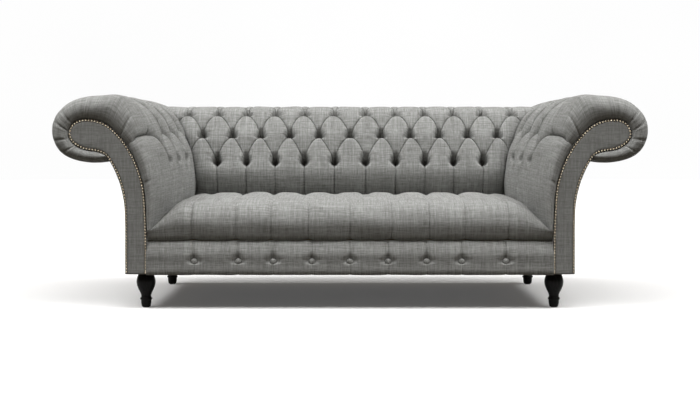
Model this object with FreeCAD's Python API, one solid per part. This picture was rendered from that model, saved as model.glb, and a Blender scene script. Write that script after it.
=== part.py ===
import FreeCAD, Part
import math
import os

V = FreeCAD.Vector

# Chesterfield sofa with scroll arms, a buttoned back, a sprung seat and turned legs.
# Millimetres. X runs along the sofa, Y from front to back, Z up; the floor is Z = 0.

# Overall sizes
overall_width = 2202.0
overall_depth = 950.0
leg_height = 130.0

# Arm outline, seen from the front
roll_rise = 515.0
roll_radius = 53.0
roll_overhang = 63.0
arm_flare = 228.0
arm_base_width = 77.0
arm_rear_inset = 35.0
arm_straight_rise = 185.0
arm_top_bend = 175.0
under_roll_flat = 40.0
under_roll_bend = 50.0
outside_straight_rise = 210.0

# Back outline, seen from the side
back_base_depth = 250.0
back_straight_rise = 170.0
back_roll_rise = 542.0
back_roll_radius = 40.0
back_roll_inset = 90.0
back_top_bend = 130.0
back_panel_drop = 54.0
back_panel_gap = 8.0
back_roll_wrap = 45.0

# Boards, panels and the timber frame
board_thickness = 6.0
board_lift = 12.0
board_gap = 0.5
facing_thickness = 12.0
facing_edge = 1.0
rear_panel_thickness = 8.0
back_panel_thickness = 5.0
cover_thickness = 1.5
post_thickness = 28.0
rail_thickness = 28.0
rail_height = 100.0
rail_lift = 10.0
seat_back_rail_reach = 10.0
top_rail_gap = 3.4
stuffing_rail_thickness = 26.0
stuffing_rail_height = 40.0
cross_rail_height = 60.0
cross_rail_offset = 260.0
rib_thickness = 25.0
mid_rib_offset = 235.0
block_side = 80.0
block_height = 70.0
hessian_thickness = 2.0

# Room left between neighbours
skin_gap = 0.3
fit_gap = 0.15
soft_gap = 8.0
pad_lift = 1.4
border_end_gap = 2.0
border_lift = 1.0
arm_back_gap = 3.0
end_room = 8.0

# Tufting of the back and arms
row_steps = 2
button_pitch = 126.0
button_radius = 11.0
button_dome = 5.0
button_belly = 2.5
button_rim = 1.5
pit_depth = 36.0
pit_share = 0.21
pit_rise = 0.6
pit_room = 2.0
steepest_puff = 0.45
arm_first_button = 226.0
last_button_room = 40.0
arm_front_bulge = 9.0
nose_set_back = 4.0
nose_tip_turn = 20.0
facing_set_back = 5.0
arm_taper_start = 35.0
arm_taper_end = 75.0
arm_pad_rise = 170.0
back_pad_thickness = 99.0

# Seat and border
seat_core_rise = 210.0
seat_core_front = 65.0
seat_core_bend = 50.0
seat_back_gap = 4.0
seat_tuft_depth = 250.0
channel_pitch = 146.0
channel_share = 0.12
channel_end_room = 60.0
border_height = 117.0
border_thickness = 21.0
border_button_height = 43.0

# Springs under the seat
spring_wire = 1.9
spring_turn = 18.0
spring_half_width = 14.0
spring_spacing = 160.0
spring_edge_room = 90.0
spring_rear_room = 8.0
spring_end_room = 5.0
clip_width = 16.0
clip_length = 22.0
clip_height = 6.5

# Turned legs and their fixings
leg_top_radius = 26.5
leg_ball_radius = 35.5
leg_neck_radius = 18.5
leg_ring_radius = 22.5
leg_foot_radius = 16.5
leg_stem_radius = 20.0
leg_ball_height = 97.5
leg_neck_height = 46.8
leg_ring_top = 33.8
leg_ring_bottom = 24.7
leg_front_inset = 69.0
leg_rear_inset = 60.0
leg_from_front = 70.0
leg_from_rear = 92.0
glide_radius = 12.0
glide_thickness = 3.0
leg_bolt_radius = 4.0
leg_bolt_depth = 40.0
tee_barrel_radius = 5.3
tee_flange_radius = 11.0
tee_flange_thickness = 1.5

# Nails, dowels and back bolts
nail_radius = 5.0
nail_height = 3.5
nail_pitch = 10.8
nail_edge = 6.0
dowel_radius = 5.0
dowel_length = 50.0
dowel_spread = 50.0
back_bolt_radius = 4.0
back_bolt_head = 7.0
back_bolt_head_height = 5.0
back_bolt_spread = 30.0

# Places that follow from the sizes above
front_y = -overall_depth / 2
rear_y = overall_depth / 2
facing_front = front_y + facing_set_back
facing_back = facing_front + facing_thickness
post_back = facing_back + post_thickness
arm_rear = rear_y - arm_rear_inset
rear_post_back = arm_rear - rear_panel_thickness
rear_post_front = rear_post_back - post_thickness
roll_x = overall_width / 2 - roll_overhang - roll_radius
arm_x = roll_x - arm_flare
outside_x = arm_x + arm_base_width
post_inset = board_gap + board_thickness + board_gap
rail_bottom = leg_height + rail_lift
rail_top = rail_bottom + rail_height
board_bottom = rail_top + board_lift
roll_centre_height = leg_height + roll_rise
arm_straight_height = leg_height + arm_straight_rise
outside_straight_height = leg_height + outside_straight_rise
arm_pad_bottom = leg_height + arm_pad_rise
back_straight_height = leg_height + back_straight_rise
back_roll_height = leg_height + back_roll_rise
seat_core_height = leg_height + seat_core_rise
back_y = rear_y - back_base_depth
back_roll_y = rear_y - back_roll_inset
back_panel_y = back_roll_y + back_roll_radius + back_panel_gap
back_panel_top = back_roll_height - back_panel_drop
front_rail_y = facing_front + border_thickness
seat_rear = back_y - back_pad_thickness - seat_back_gap
post_x = arm_x + post_inset


class Run:
    """Straight stretch of an outline with its outward direction."""

    def __init__(self, start, end, out):
        self.start = start
        self.end = end
        self.out = out

    def length(self):
        return math.dist(self.start, self.end)

    def outward(self, share):
        return self.out

    def point(self, share, inset=0.0):
        u = self.start[0] + share * (self.end[0] - self.start[0]) - inset * self.out[0]
        v = self.start[1] + share * (self.end[1] - self.start[1]) - inset * self.out[1]
        return (u, v)

    def edge(self, inset, place):
        return Part.LineSegment(place(*self.point(0.0, inset)), place(*self.point(1.0, inset))).toShape()


class Bend:
    """Round stretch of an outline, hollow where its centre lies outside the body."""

    def __init__(self, centre, radius, first, last, hollow=False):
        self.centre = centre
        self.radius = radius
        self.first = first
        self.last = last
        self.side = -1.0 if hollow else 1.0

    def length(self):
        return self.radius * math.radians(abs(self.last - self.first))

    def outward(self, share):
        angle = math.radians(self.first + share * (self.last - self.first))
        return (self.side * math.cos(angle), self.side * math.sin(angle))

    def point(self, share, inset=0.0):
        out = self.outward(share)
        reach = self.radius * self.side - inset
        return (self.centre[0] + reach * out[0], self.centre[1] + reach * out[1])

    def edge(self, inset, place):
        ends = [place(*self.point(share, inset)) for share in (0.0, 0.5, 1.0)]
        return Part.Arc(*ends).toShape()


def biarc(start, end, tight):
    """A wide bend that leaves start upright and a tight one that reaches end level, both to the right."""
    dx = end[0] - start[0]
    dz = end[1] - start[1]
    wide = (dx * dx + (dz - tight) ** 2 - tight * tight) / (2 * (dx - tight))
    wide_centre = (start[0] + wide, start[1])
    tight_centre = (end[0], end[1] - tight)
    turn = math.degrees(math.atan2(tight_centre[1] - wide_centre[1], tight_centre[0] - wide_centre[0]))
    return (wide_centre, wide, tight_centre, turn)


def arm_path(bottom):
    """Arm outline from the inside bottom, up over the roll and down the outside."""
    roll_top = roll_centre_height + roll_radius
    roll_base = roll_centre_height - roll_radius
    wide_centre, wide, tight_centre, turn = biarc(
        (arm_x, arm_straight_height), (roll_x, roll_top), arm_top_bend)
    flat_x = roll_x - under_roll_flat
    out_centre, out_wide, tuck_centre, out_turn = biarc(
        (outside_x, outside_straight_height), (flat_x, roll_base), under_roll_bend)
    return {
        "inside": Run((arm_x, bottom), (arm_x, arm_straight_height), (-1, 0)),
        "belly": Bend(wide_centre, wide, 180.0, turn),
        "shoulder": Bend(tight_centre, arm_top_bend, turn, 90.0),
        "roll_upper": Bend((roll_x, roll_centre_height), roll_radius, 90.0, 0.0),
        "roll_lower": Bend((roll_x, roll_centre_height), roll_radius, 0.0, -90.0),
        "under": Run((roll_x, roll_base), (flat_x, roll_base), (0, -1)),
        "tuck": Bend(tuck_centre, under_roll_bend, 90.0, out_turn, hollow=True),
        "flare": Bend(out_centre, out_wide, out_turn, 180.0, hollow=True),
        "outside": Run((outside_x, outside_straight_height), (outside_x, bottom), (1, 0)),
    }


def back_path(bottom):
    """Back outline from the seat, up over the rolled top and a little way down behind."""
    roll_top = back_roll_height + back_roll_radius
    wide_centre, wide, tight_centre, turn = biarc(
        (back_y, back_straight_height), (back_roll_y, roll_top), back_top_bend)
    return {
        "inside": Run((back_y, bottom), (back_y, back_straight_height), (-1, 0)),
        "lumbar": Bend(wide_centre, wide, 180.0, turn),
        "shoulder": Bend(tight_centre, back_top_bend, turn, 90.0),
        "roll_upper": Bend((back_roll_y, back_roll_height), back_roll_radius, 90.0, 0.0),
        "roll_lower": Bend((back_roll_y, back_roll_height), back_roll_radius, 0.0, -back_roll_wrap),
    }


def closed_face(edges):
    return Part.Face(Part.Wire(Part.__sortEdges__(edges)))


def join_line(first, last):
    return Part.LineSegment(first, last).toShape()


def arm_plate(inset, near, far, bottom=leg_height):
    """Whole arm outline, drawn in by inset, as a plate between two depths."""
    place = lambda u, v: V(u, near, v)
    path = list(arm_path(bottom).values())
    edges = [stretch.edge(inset, place) for stretch in path]
    edges.append(join_line(place(*path[-1].point(1.0, inset)), place(*path[0].point(0.0, inset))))
    return closed_face(edges).extrude(V(0, far - near, 0))


def band(path, outer, inner, place, push):
    """Board of even thickness that follows a path, between two insets."""
    edges = [stretch.edge(outer, place) for stretch in path]
    edges += [stretch.edge(inner, place) for stretch in path]
    edges.append(join_line(place(*path[0].point(0.0, outer)), place(*path[0].point(0.0, inner))))
    edges.append(join_line(place(*path[-1].point(1.0, outer)), place(*path[-1].point(1.0, inner))))
    return closed_face(edges).extrude(push)


def box(low, high):
    size = V(*high) - V(*low)
    return Part.makeBox(size.x, size.y, size.z, V(*low))


def mirrored(shape):
    return shape.mirror(V(0, 0, 0), V(1, 0, 0))


def cut_all(shape, tools):
    for tool in tools:
        shape = shape.cut(tool)
    return shape


def save(name, shape):
    shape.exportStep("parts/%s.step" % name)
    print(name, len(shape.Solids), "solids", round(shape.Volume / 1000.0, 1), "cm3", shape.isValid())


def save_pair(name, shape):
    """The right-hand piece as drawn and its mirror image on the left."""
    save(name + "_right", shape)
    save(name + "_left", mirrored(shape))


def group(shapes):
    return Part.makeCompound(shapes)


# Tufted pads are lofts. A section is an arc for each puff, and its creases lie where the puffs meet.

def scallops(place, marks, levels, crowns):
    """Arcs from mark to mark: creases at levels, puff tops at crowns."""
    edges = []
    for i in range(len(marks) - 1):
        first = place(marks[i], levels[i])
        last = place(marks[i + 1], levels[i + 1])
        top = place((marks[i] + marks[i + 1]) / 2, crowns[i])
        edges.append(Part.Arc(first, top, last).toShape())
    return edges


def crease_marks(columns, share):
    """Creases on both sides of each even column; share is the even puff's part of the spacing."""
    marks = []
    for i in range(0, len(columns), 2):
        before = columns[i] - columns[i - 1] if i > 0 else columns[1] - columns[0]
        after = columns[i + 1] - columns[i] if i + 1 < len(columns) else before
        marks += [columns[i] - share * before, columns[i] + share * after]
    return marks


def between(low, high, share):
    return low + (high - low) * min(1.0, max(0.0, share))


def fill_rows(rows, steps):
    """Rows of numbers with even steps put in between each pair."""
    filled = []
    for low, high in zip(rows, rows[1:]):
        for i in range(steps):
            filled.append(tuple(between(a, b, i / steps) for a, b in zip(low, high)))
    return filled + [rows[-1]]


def along(path, walk):
    """Point and outward direction at a distance along a path, counted in stretches."""
    stretches = list(path.values())
    index = min(int(walk), len(stretches) - 1)
    return (stretches[index].point(walk - index), stretches[index].outward(walk - index))


def flat_pit(path, row):
    """A button row as two rows, with room for the button on the level floor between them."""
    stretches = list(path.values())
    room = button_radius + pit_room
    before = room / stretches[math.ceil(row[0]) - 1].length()
    after = room / stretches[int(row[0])].length()
    return [(row[0] - before,) + row[1:], (row[0] + after,) + row[1:]]


def puff_tops(marks, levels, heights, depth, share, pit):
    """Height of each puff's middle: in the pit where it is narrowest, at the pad's height where widest."""
    last = len(marks) - 2
    tops = []
    for i in range(last + 1):
        own_share = share if i % 2 == 1 else 1.0 - share
        fullness = between(0.0, 1.0, (own_share - pit) / (1.0 - 2 * pit))
        if i == 0 or i == last:
            fullness = 1.0
        sunk = depth * (1.0 - math.sin(fullness * math.pi / 2))
        crease = (levels[i] + levels[i + 1]) / 2
        highest = crease + steepest_puff * (marks[i + 1] - marks[i])
        tops.append(max(crease + pit_rise, min(heights[i] - sunk, highest)))
    return tops


# Arm pad. Each row gives the place along the outline, the pad's height at the front and towards the back,
# the even puffs' share of the pitch and the depth of the creases.
wide_share = 1.0 - pit_share
inside, belly, shoulder, roll_upper, roll_lower, under, tuck = range(7)
arm_row_low = (belly + 0.62, 62.0, 135.0, wide_share, pit_depth)
arm_row_middle = (shoulder, 80.0, 148.0, pit_share, pit_depth)
arm_row_high = (shoulder + 0.72, 106.0, 108.0, wide_share, 32.0)
arm_button_rows = [arm_row_low, arm_row_middle, arm_row_high]
arm_outline = arm_path(arm_pad_bottom)
arm_rows = [
    (inside, 34.0, 100.0, wide_share, 12.0),
    (belly + 0.38, 44.0, 122.0, wide_share, 22.0),
    *flat_pit(arm_outline, arm_row_low),
    (belly + 0.81, 72.0, 146.0, 0.5, 14.0),
    *flat_pit(arm_outline, arm_row_middle),
    (shoulder + 0.38, 98.0, 132.0, 0.5, 14.0),
    *flat_pit(arm_outline, arm_row_high),
    (roll_upper, 82.0, 82.0, wide_share, 12.0),
    (roll_upper + 0.5, 72.0, 72.0, wide_share, 9.0),
    (roll_lower, 63.0, 63.0, wide_share, 7.0),
    (roll_lower + 0.5, 55.0, 55.0, wide_share, 6.0),
    (under, 49.0, 49.0, wide_share, 5.0),
    (tuck, 44.0, 44.0, wide_share, 4.0),
    (tuck + 1.0, 10.0, 10.0, wide_share, 2.0),
]
arm_roll_walk = shoulder + 0.1
arm_inner_end = back_y - arm_back_gap
arm_half_count = 2 * math.ceil((arm_inner_end - front_y - arm_first_button) / button_pitch)
arm_columns = [front_y + arm_first_button + i * button_pitch / 2 for i in range(arm_half_count + 1)]
arm_filled = fill_rows(arm_rows, row_steps)


def arm_pad_height(row, y):
    taper_start = front_y + arm_taper_start
    return between(row[1], row[2], (y - taper_start) / (back_y - arm_taper_end - taper_start))


def arm_base(row):
    return along(arm_outline, row[0])


def arm_section(row):
    """Closed section across the pad: a nose in front of the facing, the puffs and a plain rear end."""
    walk, high, rear_high, share, depth = row
    base, out = arm_base(row)
    place = lambda y, t: V(base[0] + out[0] * t, y, base[1] + out[1] * t)
    far = rear_post_back if walk >= arm_roll_walk else arm_inner_end
    start = facing_front + nose_set_back
    rise = high - pad_lift
    bend = arm_front_bulge + rise - math.sqrt(2 * arm_front_bulge * rise)
    nose_y = start - arm_front_bulge + bend
    tip_turn = math.radians(nose_tip_turn)
    tip = (nose_y - bend * math.cos(tip_turn), high - bend * (1 - math.sin(tip_turn)))
    marks = crease_marks(arm_columns, share)
    marks = [min(mark, far - end_room * (len(marks) - i)) for i, mark in enumerate(marks)]
    marks = [nose_y] + marks + [far]
    levels = [arm_pad_height(row, mark) - depth for mark in marks]
    levels[0] = high
    heights = [arm_pad_height(row, (near + next_mark) / 2) for near, next_mark in zip(marks, marks[1:])]
    tops = puff_tops(marks, levels, heights, depth, share, pit_share)
    edges = [Part.Arc(place(start, pad_lift), place(*tip), place(nose_y, high)).toShape()]
    edges += scallops(place, marks, levels, tops)
    edges.append(join_line(place(far, levels[-1]), place(far, pad_lift)))
    edges.append(join_line(place(far, pad_lift), place(start, pad_lift)))
    return Part.Wire(edges)


def arm_face_x(y, z):
    """How far the inside of the arm pad stands from the middle, at a depth and a height."""
    faces = []
    for row in arm_filled:
        if row[0] <= roll_upper:
            base, out = arm_base(row)
            high = arm_pad_height(row, y)
            faces.append((base[1] + out[1] * high, base[0] + out[0] * high))
    if z <= faces[0][0]:
        return faces[0][1]
    for low, top in zip(faces, faces[1:]):
        if z <= top[0]:
            return between(low[1], top[1], (z - low[0]) / (top[0] - low[0]))
    return faces[-1][1]


def dome_middle(radius, height):
    """Point half way down a round cap of this radius and height, whose rim is at zero."""
    sphere = (radius * radius + height * height) / (2 * height)
    half = math.asin(radius / sphere) / 2
    return (sphere * math.sin(half), height - sphere * (1 - math.cos(half)))


def button_at(base, out):
    """Covered button: two domes on a thin rim, with its belly a hair above the pit."""
    rim_low = skin_gap + button_belly
    rim_high = rim_low + button_rim
    bottom = V(0, 0, skin_gap)
    top = V(0, 0, rim_high + button_dome)
    belly_r, belly_drop = dome_middle(button_radius, button_belly)
    dome_r, dome_rise = dome_middle(button_radius, button_dome)
    low = V(button_radius, 0, rim_low)
    high = V(button_radius, 0, rim_high)
    outline = Part.Wire([
        Part.Arc(bottom, V(belly_r, 0, rim_low - belly_drop), low).toShape(),
        join_line(low, high),
        Part.Arc(high, V(dome_r, 0, rim_high + dome_rise), top).toShape(),
        join_line(top, bottom)])
    button = Part.Face(outline).revolve(V(0, 0, 0), V(0, 0, 1), 360)
    button.Placement = FreeCAD.Placement(base, FreeCAD.Rotation(V(0, 0, 1), out))
    return button


def arm_buttons():
    shapes = []
    for row in arm_button_rows:
        base, out = arm_base(row)
        first = 0 if row[3] < 0.5 else 1
        for y in arm_columns[first::2]:
            t = arm_pad_height(row, y) - row[4] + pit_rise
            z = base[1] + out[1] * t
            if y + button_radius < back_face_y(z):
                shapes.append(button_at(V(base[0] + out[0] * t, y, z), V(out[0], 0, out[1])))
    return group(shapes)


# Back pad, in the same way: place along the outline, height, even share and crease depth.
lumbar, back_shoulder, back_roll_upper, back_roll_lower = range(1, 5)
back_row_low = (lumbar + 0.79, 95.0, wide_share, pit_depth)
back_row_middle = (back_shoulder + 0.13, 85.0, pit_share, pit_depth)
back_row_high = (back_shoulder + 0.68, 60.0, wide_share, 24.0)
back_button_rows = [back_row_low, back_row_middle, back_row_high]
back_outline = back_path(board_bottom)
back_rows = [
    (lumbar, 92.0, wide_share, 14.0),
    (lumbar + 0.34, back_pad_thickness, wide_share, 18.0),
    *flat_pit(back_outline, back_row_low),
    (lumbar + 0.95, 91.0, 0.5, 14.0),
    *flat_pit(back_outline, back_row_middle),
    (back_shoulder + 0.4, 73.0, 0.5, 12.0),
    *flat_pit(back_outline, back_row_high),
    (back_roll_upper, 55.0, wide_share, 9.0),
    (back_roll_upper + 0.5, 52.0, wide_share, 7.0),
    (back_roll_lower, 50.0, wide_share, 6.0),
    (back_roll_lower + 1.0, 14.0, wide_share, 3.0),
]
back_edge_share = 0.55
back_reach = arm_face_x(back_y, back_roll_height + back_roll_radius)
back_half_count = 2 * math.ceil((back_reach - last_button_room) / button_pitch)
back_columns = [i * button_pitch / 2 for i in range(-back_half_count, back_half_count + 1)]


def back_base(row):
    return along(back_outline, row[0])


def back_face_y(z):
    """Depth of the back pad's face at a height."""
    faces = []
    for row in back_rows:
        if row[0] <= back_roll_upper:
            base, out = back_base(row)
            faces.append((base[1] + out[1] * row[1], base[0] + out[0] * row[1]))
    for low, top in zip(faces, faces[1:]):
        if z <= top[0]:
            return between(low[1], top[1], (z - low[0]) / (top[0] - low[0]))
    return faces[-1][1]


def back_half_width(base, out, high):
    return min(back_reach, arm_face_x(back_y, base[1] + out[1] * high)) - soft_gap


def spread_marks(columns, share, edge):
    """Creases across a pad from minus to plus edge; those that would lie outside crowd up at the end."""
    marks = crease_marks(columns, share)
    count = len(marks)
    limits = [edge - end_room * (1 + min(i, count - 1 - i)) for i in range(count)]
    return [-edge] + [max(-limit, min(limit, mark)) for limit, mark in zip(limits, marks)] + [edge]


def back_section(row):
    walk, high, share, depth = row
    base, out = back_base(row)
    place = lambda x, t: V(x, base[0] + out[0] * t, base[1] + out[1] * t)
    foot = back_half_width(base, out, 0.0)
    edge = back_half_width(base, out, back_edge_share * high)
    if walk > back_roll_upper:
        foot = back_reach - soft_gap
        edge = foot
    marks = spread_marks(back_columns, share, edge)
    levels = [high - depth] * len(marks)
    levels[0] = back_edge_share * high
    levels[-1] = levels[0]
    tops = puff_tops(marks, levels, [high] * (len(marks) - 1), depth, share, pit_share)
    edges = [join_line(place(-foot, pad_lift), place(-edge, levels[0]))]
    edges += scallops(place, marks, levels, tops)
    edges.append(join_line(place(edge, levels[-1]), place(foot, pad_lift)))
    edges.append(join_line(place(foot, pad_lift), place(-foot, pad_lift)))
    return Part.Wire(edges)


def back_buttons():
    shapes = []
    for row in back_button_rows:
        walk, high, share, depth = row
        base, out = back_base(row)
        edge = back_half_width(base, out, back_edge_share * high)
        first = 0 if share < 0.5 else 1
        t = high - depth + pit_rise
        facing_way = V(0, out[0], out[1])
        marks = spread_marks(back_columns, share, edge)[1:-1]
        for x, before, after in zip(back_columns[first::2], marks[first::2], marks[first + 1::2]):
            pit_half = min(x - before, after - x)
            if pit_half >= button_radius and abs(x) < edge - button_radius - pit_room:
                seat = V(x, base[0] + out[0] * t, base[1] + out[1] * t)
                shapes.append(button_at(seat, facing_way))
    return group(shapes)


# Seat pad over its core: place along the outline, height, even share and crease depth.
seat_front_y = front_y + seat_core_front
seat_top_y = seat_front_y + seat_core_bend
tuft_place = (front_y + seat_tuft_depth - seat_top_y) / (seat_rear - seat_top_y)
lip, lip_bend, seat_top = range(3)
seat_rows = [
    (lip, 60.0, channel_share, 8.0),
    (lip_bend, 64.0, channel_share, 9.0),
    (lip_bend + 0.5, 70.0, channel_share, 10.0),
    (seat_top, 74.0, channel_share, 11.0),
    (seat_top + tuft_place, 72.0, channel_share, 20.0),
    (seat_top + (1.0 + tuft_place) / 2, 70.0, 0.5, 7.0),
    (seat_top + 1.0, 66.0, 1.0 - channel_share, 24.0),
]
seat_height = seat_core_height + seat_rows[3][1]
seat_edge_share = 0.6
channel_half_count = 2 * math.floor((arm_x - channel_end_room) / channel_pitch)
channel_columns = [i * channel_pitch / 2 for i in range(-channel_half_count, channel_half_count + 1)]


def seat_path():
    bend_z = seat_core_height - seat_core_bend
    return {
        "lip": Run((seat_front_y, board_bottom), (seat_front_y, bend_z), (-1, 0)),
        "bend": Bend((seat_top_y, bend_z), seat_core_bend, 180.0, 90.0),
        "top": Run((seat_top_y, seat_core_height), (seat_rear, seat_core_height), (0, 1)),
    }


def seat_half_width(y):
    """Room for the seat between the arm pads at a depth."""
    steps = 6
    heights = [between(arm_pad_bottom, seat_height, i / steps) for i in range(steps + 1)]
    return min(arm_face_x(y, z) for z in heights) - soft_gap


def channelled_section(place, edge, low, high, edge_high, share, depth):
    """Section of the seat or border: puffs between the channels and a rounded fall at both ends."""
    marks = spread_marks(channel_columns, share, edge)
    levels = [high - depth] * len(marks)
    levels[0] = edge_high
    levels[-1] = edge_high
    tops = puff_tops(marks, levels, [high] * (len(marks) - 1), depth, share, channel_share)
    edges = [join_line(place(-edge, low), place(-edge, edge_high))]
    edges += scallops(place, marks, levels, tops)
    edges.append(join_line(place(edge, edge_high), place(edge, low)))
    edges.append(join_line(place(edge, low), place(-edge, low)))
    return Part.Wire(edges)


def seat_section(row):
    walk, high, share, depth = row
    base, out = along(seat_path(), walk)
    place = lambda x, t: V(x, base[0] + out[0] * t, base[1] + out[1] * t)
    edge = seat_half_width(base[0]) if walk > lip else arm_x - border_end_gap
    return channelled_section(place, edge, pad_lift, high, seat_edge_share * high, share, depth)


# Border below the seat: place up its height, thickness and crease depth.
border_bottom = leg_height + border_lift
border_button_row = 1
border_rows = [
    (0.0, 14.0, 2.0),
    (border_button_height / border_height, border_thickness, 8.0),
    (0.75, 20.0, 5.0),
    (1.0, 14.0, 2.0),
]


def border_section(row):
    z = border_bottom + row[0] * border_height
    place = lambda x, t: V(x, front_rail_y - t, z)
    edge = arm_x - border_end_gap
    return channelled_section(place, edge, 0.0, row[1], row[1] - row[2], channel_share, row[2])


def border_buttons():
    row = border_rows[border_button_row]
    y = front_rail_y - (row[1] - row[2] + pit_rise)
    z = border_bottom + row[0] * border_height
    return group([button_at(V(x, y, z), V(0, -1, 0)) for x in channel_columns[0::2]])


def seat_core():
    """Foam block under the seat pad, cut to the room between the arms."""
    place = lambda u, v: V(-arm_x, u, v)
    path = list(seat_path().values())
    edges = [stretch.edge(skin_gap, place) for stretch in path]
    front = place(seat_front_y + skin_gap, board_bottom)
    rear = place(seat_rear, board_bottom)
    edges.append(join_line(place(seat_rear, seat_core_height - skin_gap), rear))
    edges.append(join_line(rear, front))
    side = closed_face(edges).extrude(V(2 * arm_x, 0, 0))
    stops = [seat_front_y, front_y + seat_tuft_depth, seat_rear]
    right = [V(seat_half_width(y), y, 0) for y in stops]
    left = [V(-p.x, p.y, 0) for p in reversed(right)]
    plan = Part.Face(Part.makePolygon(right + left + right[:1])).extrude(V(0, 0, 2 * seat_core_height))
    return side.common(plan)


# Legs with their fixings
leg_places = {
    "front": (outside_x - leg_front_inset, front_y + leg_from_front),
    "rear": (outside_x - leg_rear_inset, rear_y - leg_from_rear),
}


def leg(x, y):
    """Turned leg: a ball, a neck, a ring and a tapered foot."""
    top = leg_height
    low = glide_thickness
    ring_mid = (leg_ring_top + leg_ring_bottom) / 2
    hollow_mid = (leg_ring_top + leg_neck_height) / 2
    p = lambda r, z: V(x + r, y, z)
    ring_start = p(leg_stem_radius, leg_ring_bottom)
    ring_end = p(leg_stem_radius, leg_ring_top)
    neck = p(leg_stem_radius, leg_neck_height)
    ball = Part.BSplineCurve()
    ball.interpolate([neck, p(leg_ball_radius, leg_ball_height), p(leg_top_radius, top)])
    edges = [
        join_line(p(0, low), p(leg_foot_radius, low)),
        join_line(p(leg_foot_radius, low), ring_start),
        Part.Arc(ring_start, p(leg_ring_radius, ring_mid), ring_end).toShape(),
        Part.Arc(ring_end, p(leg_neck_radius, hollow_mid), neck).toShape(),
        ball.toShape(),
        join_line(p(leg_top_radius, top), p(0, top)),
        join_line(p(0, top), p(0, low)),
    ]
    turned = closed_face(edges).revolve(V(x, y, 0), V(0, 0, 1), 360)
    bore = Part.makeCylinder(leg_bolt_radius + fit_gap, leg_bolt_depth, V(x, y, top - leg_bolt_depth))
    return turned.cut(bore)


def block_body(front):
    inner = outside_x - post_inset - rail_thickness - block_side
    near = front_rail_y + rail_thickness if front else rear_post_back - rail_thickness - block_side
    corner = (inner + block_side, near + block_side, leg_height + block_height)
    return box((inner, near, leg_height), corner)


def corner_block(x, y, front):
    """Block between the side rail and the end rail that takes a leg's bolt."""
    bore = Part.makeCylinder(tee_barrel_radius + fit_gap, block_height, V(x, y, leg_height))
    return block_body(front).cut(bore)


def leg_bolt(x, y):
    bottom = leg_height - leg_bolt_depth + fit_gap
    return Part.makeCylinder(leg_bolt_radius, leg_bolt_depth + block_height, V(x, y, bottom))


def tee_nut(x, y):
    top = leg_height + block_height
    barrel = Part.makeCylinder(tee_barrel_radius, block_height / 2, V(x, y, top - block_height / 2))
    flange = Part.makeCylinder(tee_flange_radius, tee_flange_thickness, V(x, y, top))
    bore = Part.makeCylinder(leg_bolt_radius + fit_gap, block_height, V(x, y, top - block_height / 2))
    return barrel.fuse(flange).removeSplitter().cut(bore)


def glide(x, y):
    return Part.makeCylinder(glide_radius, glide_thickness, V(x, y, 0))


# Timber frame
side_rail_x = outside_x - post_inset - rail_thickness
rail_mid_z = (rail_bottom + rail_top) / 2
stuffing_z = back_straight_height - stuffing_rail_height
seat_back_rail_y = back_y - seat_back_rail_reach


def dowel(centre, axis, radius=dowel_radius):
    start = V(*centre) - V(*axis) * (dowel_length / 2)
    return Part.makeCylinder(radius, dowel_length, start, V(*axis))


def dowel_places():
    """Right-hand dowels: where two timbers butt, and along which axis."""
    across = (1, 0, 0)
    along = (0, 1, 0)
    front_mid = (front_rail_y + post_back) / 2
    rear_mid = rear_post_back - rail_thickness / 2
    stuffing_mid = (post_x + stuffing_rail_thickness / 2, stuffing_z + stuffing_rail_height / 2)
    places = []
    for z in (rail_mid_z - dowel_spread / 2, rail_mid_z + dowel_spread / 2):
        places.append(((post_x, front_mid, z), across))
        places.append(((post_x, rear_mid, z), across))
        places.append(((side_rail_x, seat_back_rail_y + rail_thickness / 2, z), across))
        for y in (post_back, rear_post_front):
            places.append(((side_rail_x + rail_thickness / 2, y, z), along))
    for y in (post_back, rear_post_front):
        places.append(((roll_x, y, roll_centre_height), along))
        places.append(((stuffing_mid[0], y, stuffing_mid[1]), along))
    return places


right_holes = [dowel(centre, axis, dowel_radius + fit_gap) for centre, axis in dowel_places()]
all_holes = right_holes + [mirrored(hole) for hole in right_holes]


def seat_rail(half, near):
    """Rail of the seat frame that runs along the sofa, centred."""
    return box((-half, near, rail_bottom), (half, near + rail_thickness, rail_top))


def back_plate(inset, x, thickness):
    """Rib of the back frame, standing on the two rails below it."""
    path = list(back_path(rail_top).values())
    place = lambda u, v: V(x, u, v)
    edges = [stretch.edge(inset, place) for stretch in path]
    foot_front = place(*path[0].point(0.0, inset))
    foot_rear = place(back_panel_y, rail_top)
    knee = place(back_panel_y, back_panel_top)
    edges.append(join_line(place(*path[-1].point(1.0, inset)), knee))
    edges.append(join_line(knee, foot_rear))
    edges.append(join_line(foot_rear, foot_front))
    return closed_face(edges).extrude(V(thickness, 0, 0))


back_half = arm_x - skin_gap
back_bolt_y = rear_post_back - post_thickness / 2
back_bolt_length = rib_thickness + skin_gap + post_inset + post_thickness


def back_bolt(z, gap=0.0):
    head_x = back_half - rib_thickness
    head_start = V(head_x - back_bolt_head_height, back_bolt_y, z)
    shank_start = V(head_x, back_bolt_y, z)
    shank = Part.makeCylinder(back_bolt_radius + gap, back_bolt_length, shank_start, V(1, 0, 0))
    head = Part.makeCylinder(back_bolt_head, back_bolt_head_height, head_start, V(1, 0, 0))
    return shank.fuse(head)


back_bolt_heights = [board_bottom + back_bolt_spread / 2 + i * back_bolt_spread for i in range(2)]
bolt_holes = [back_bolt(z, fit_gap) for z in back_bolt_heights]


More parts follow.
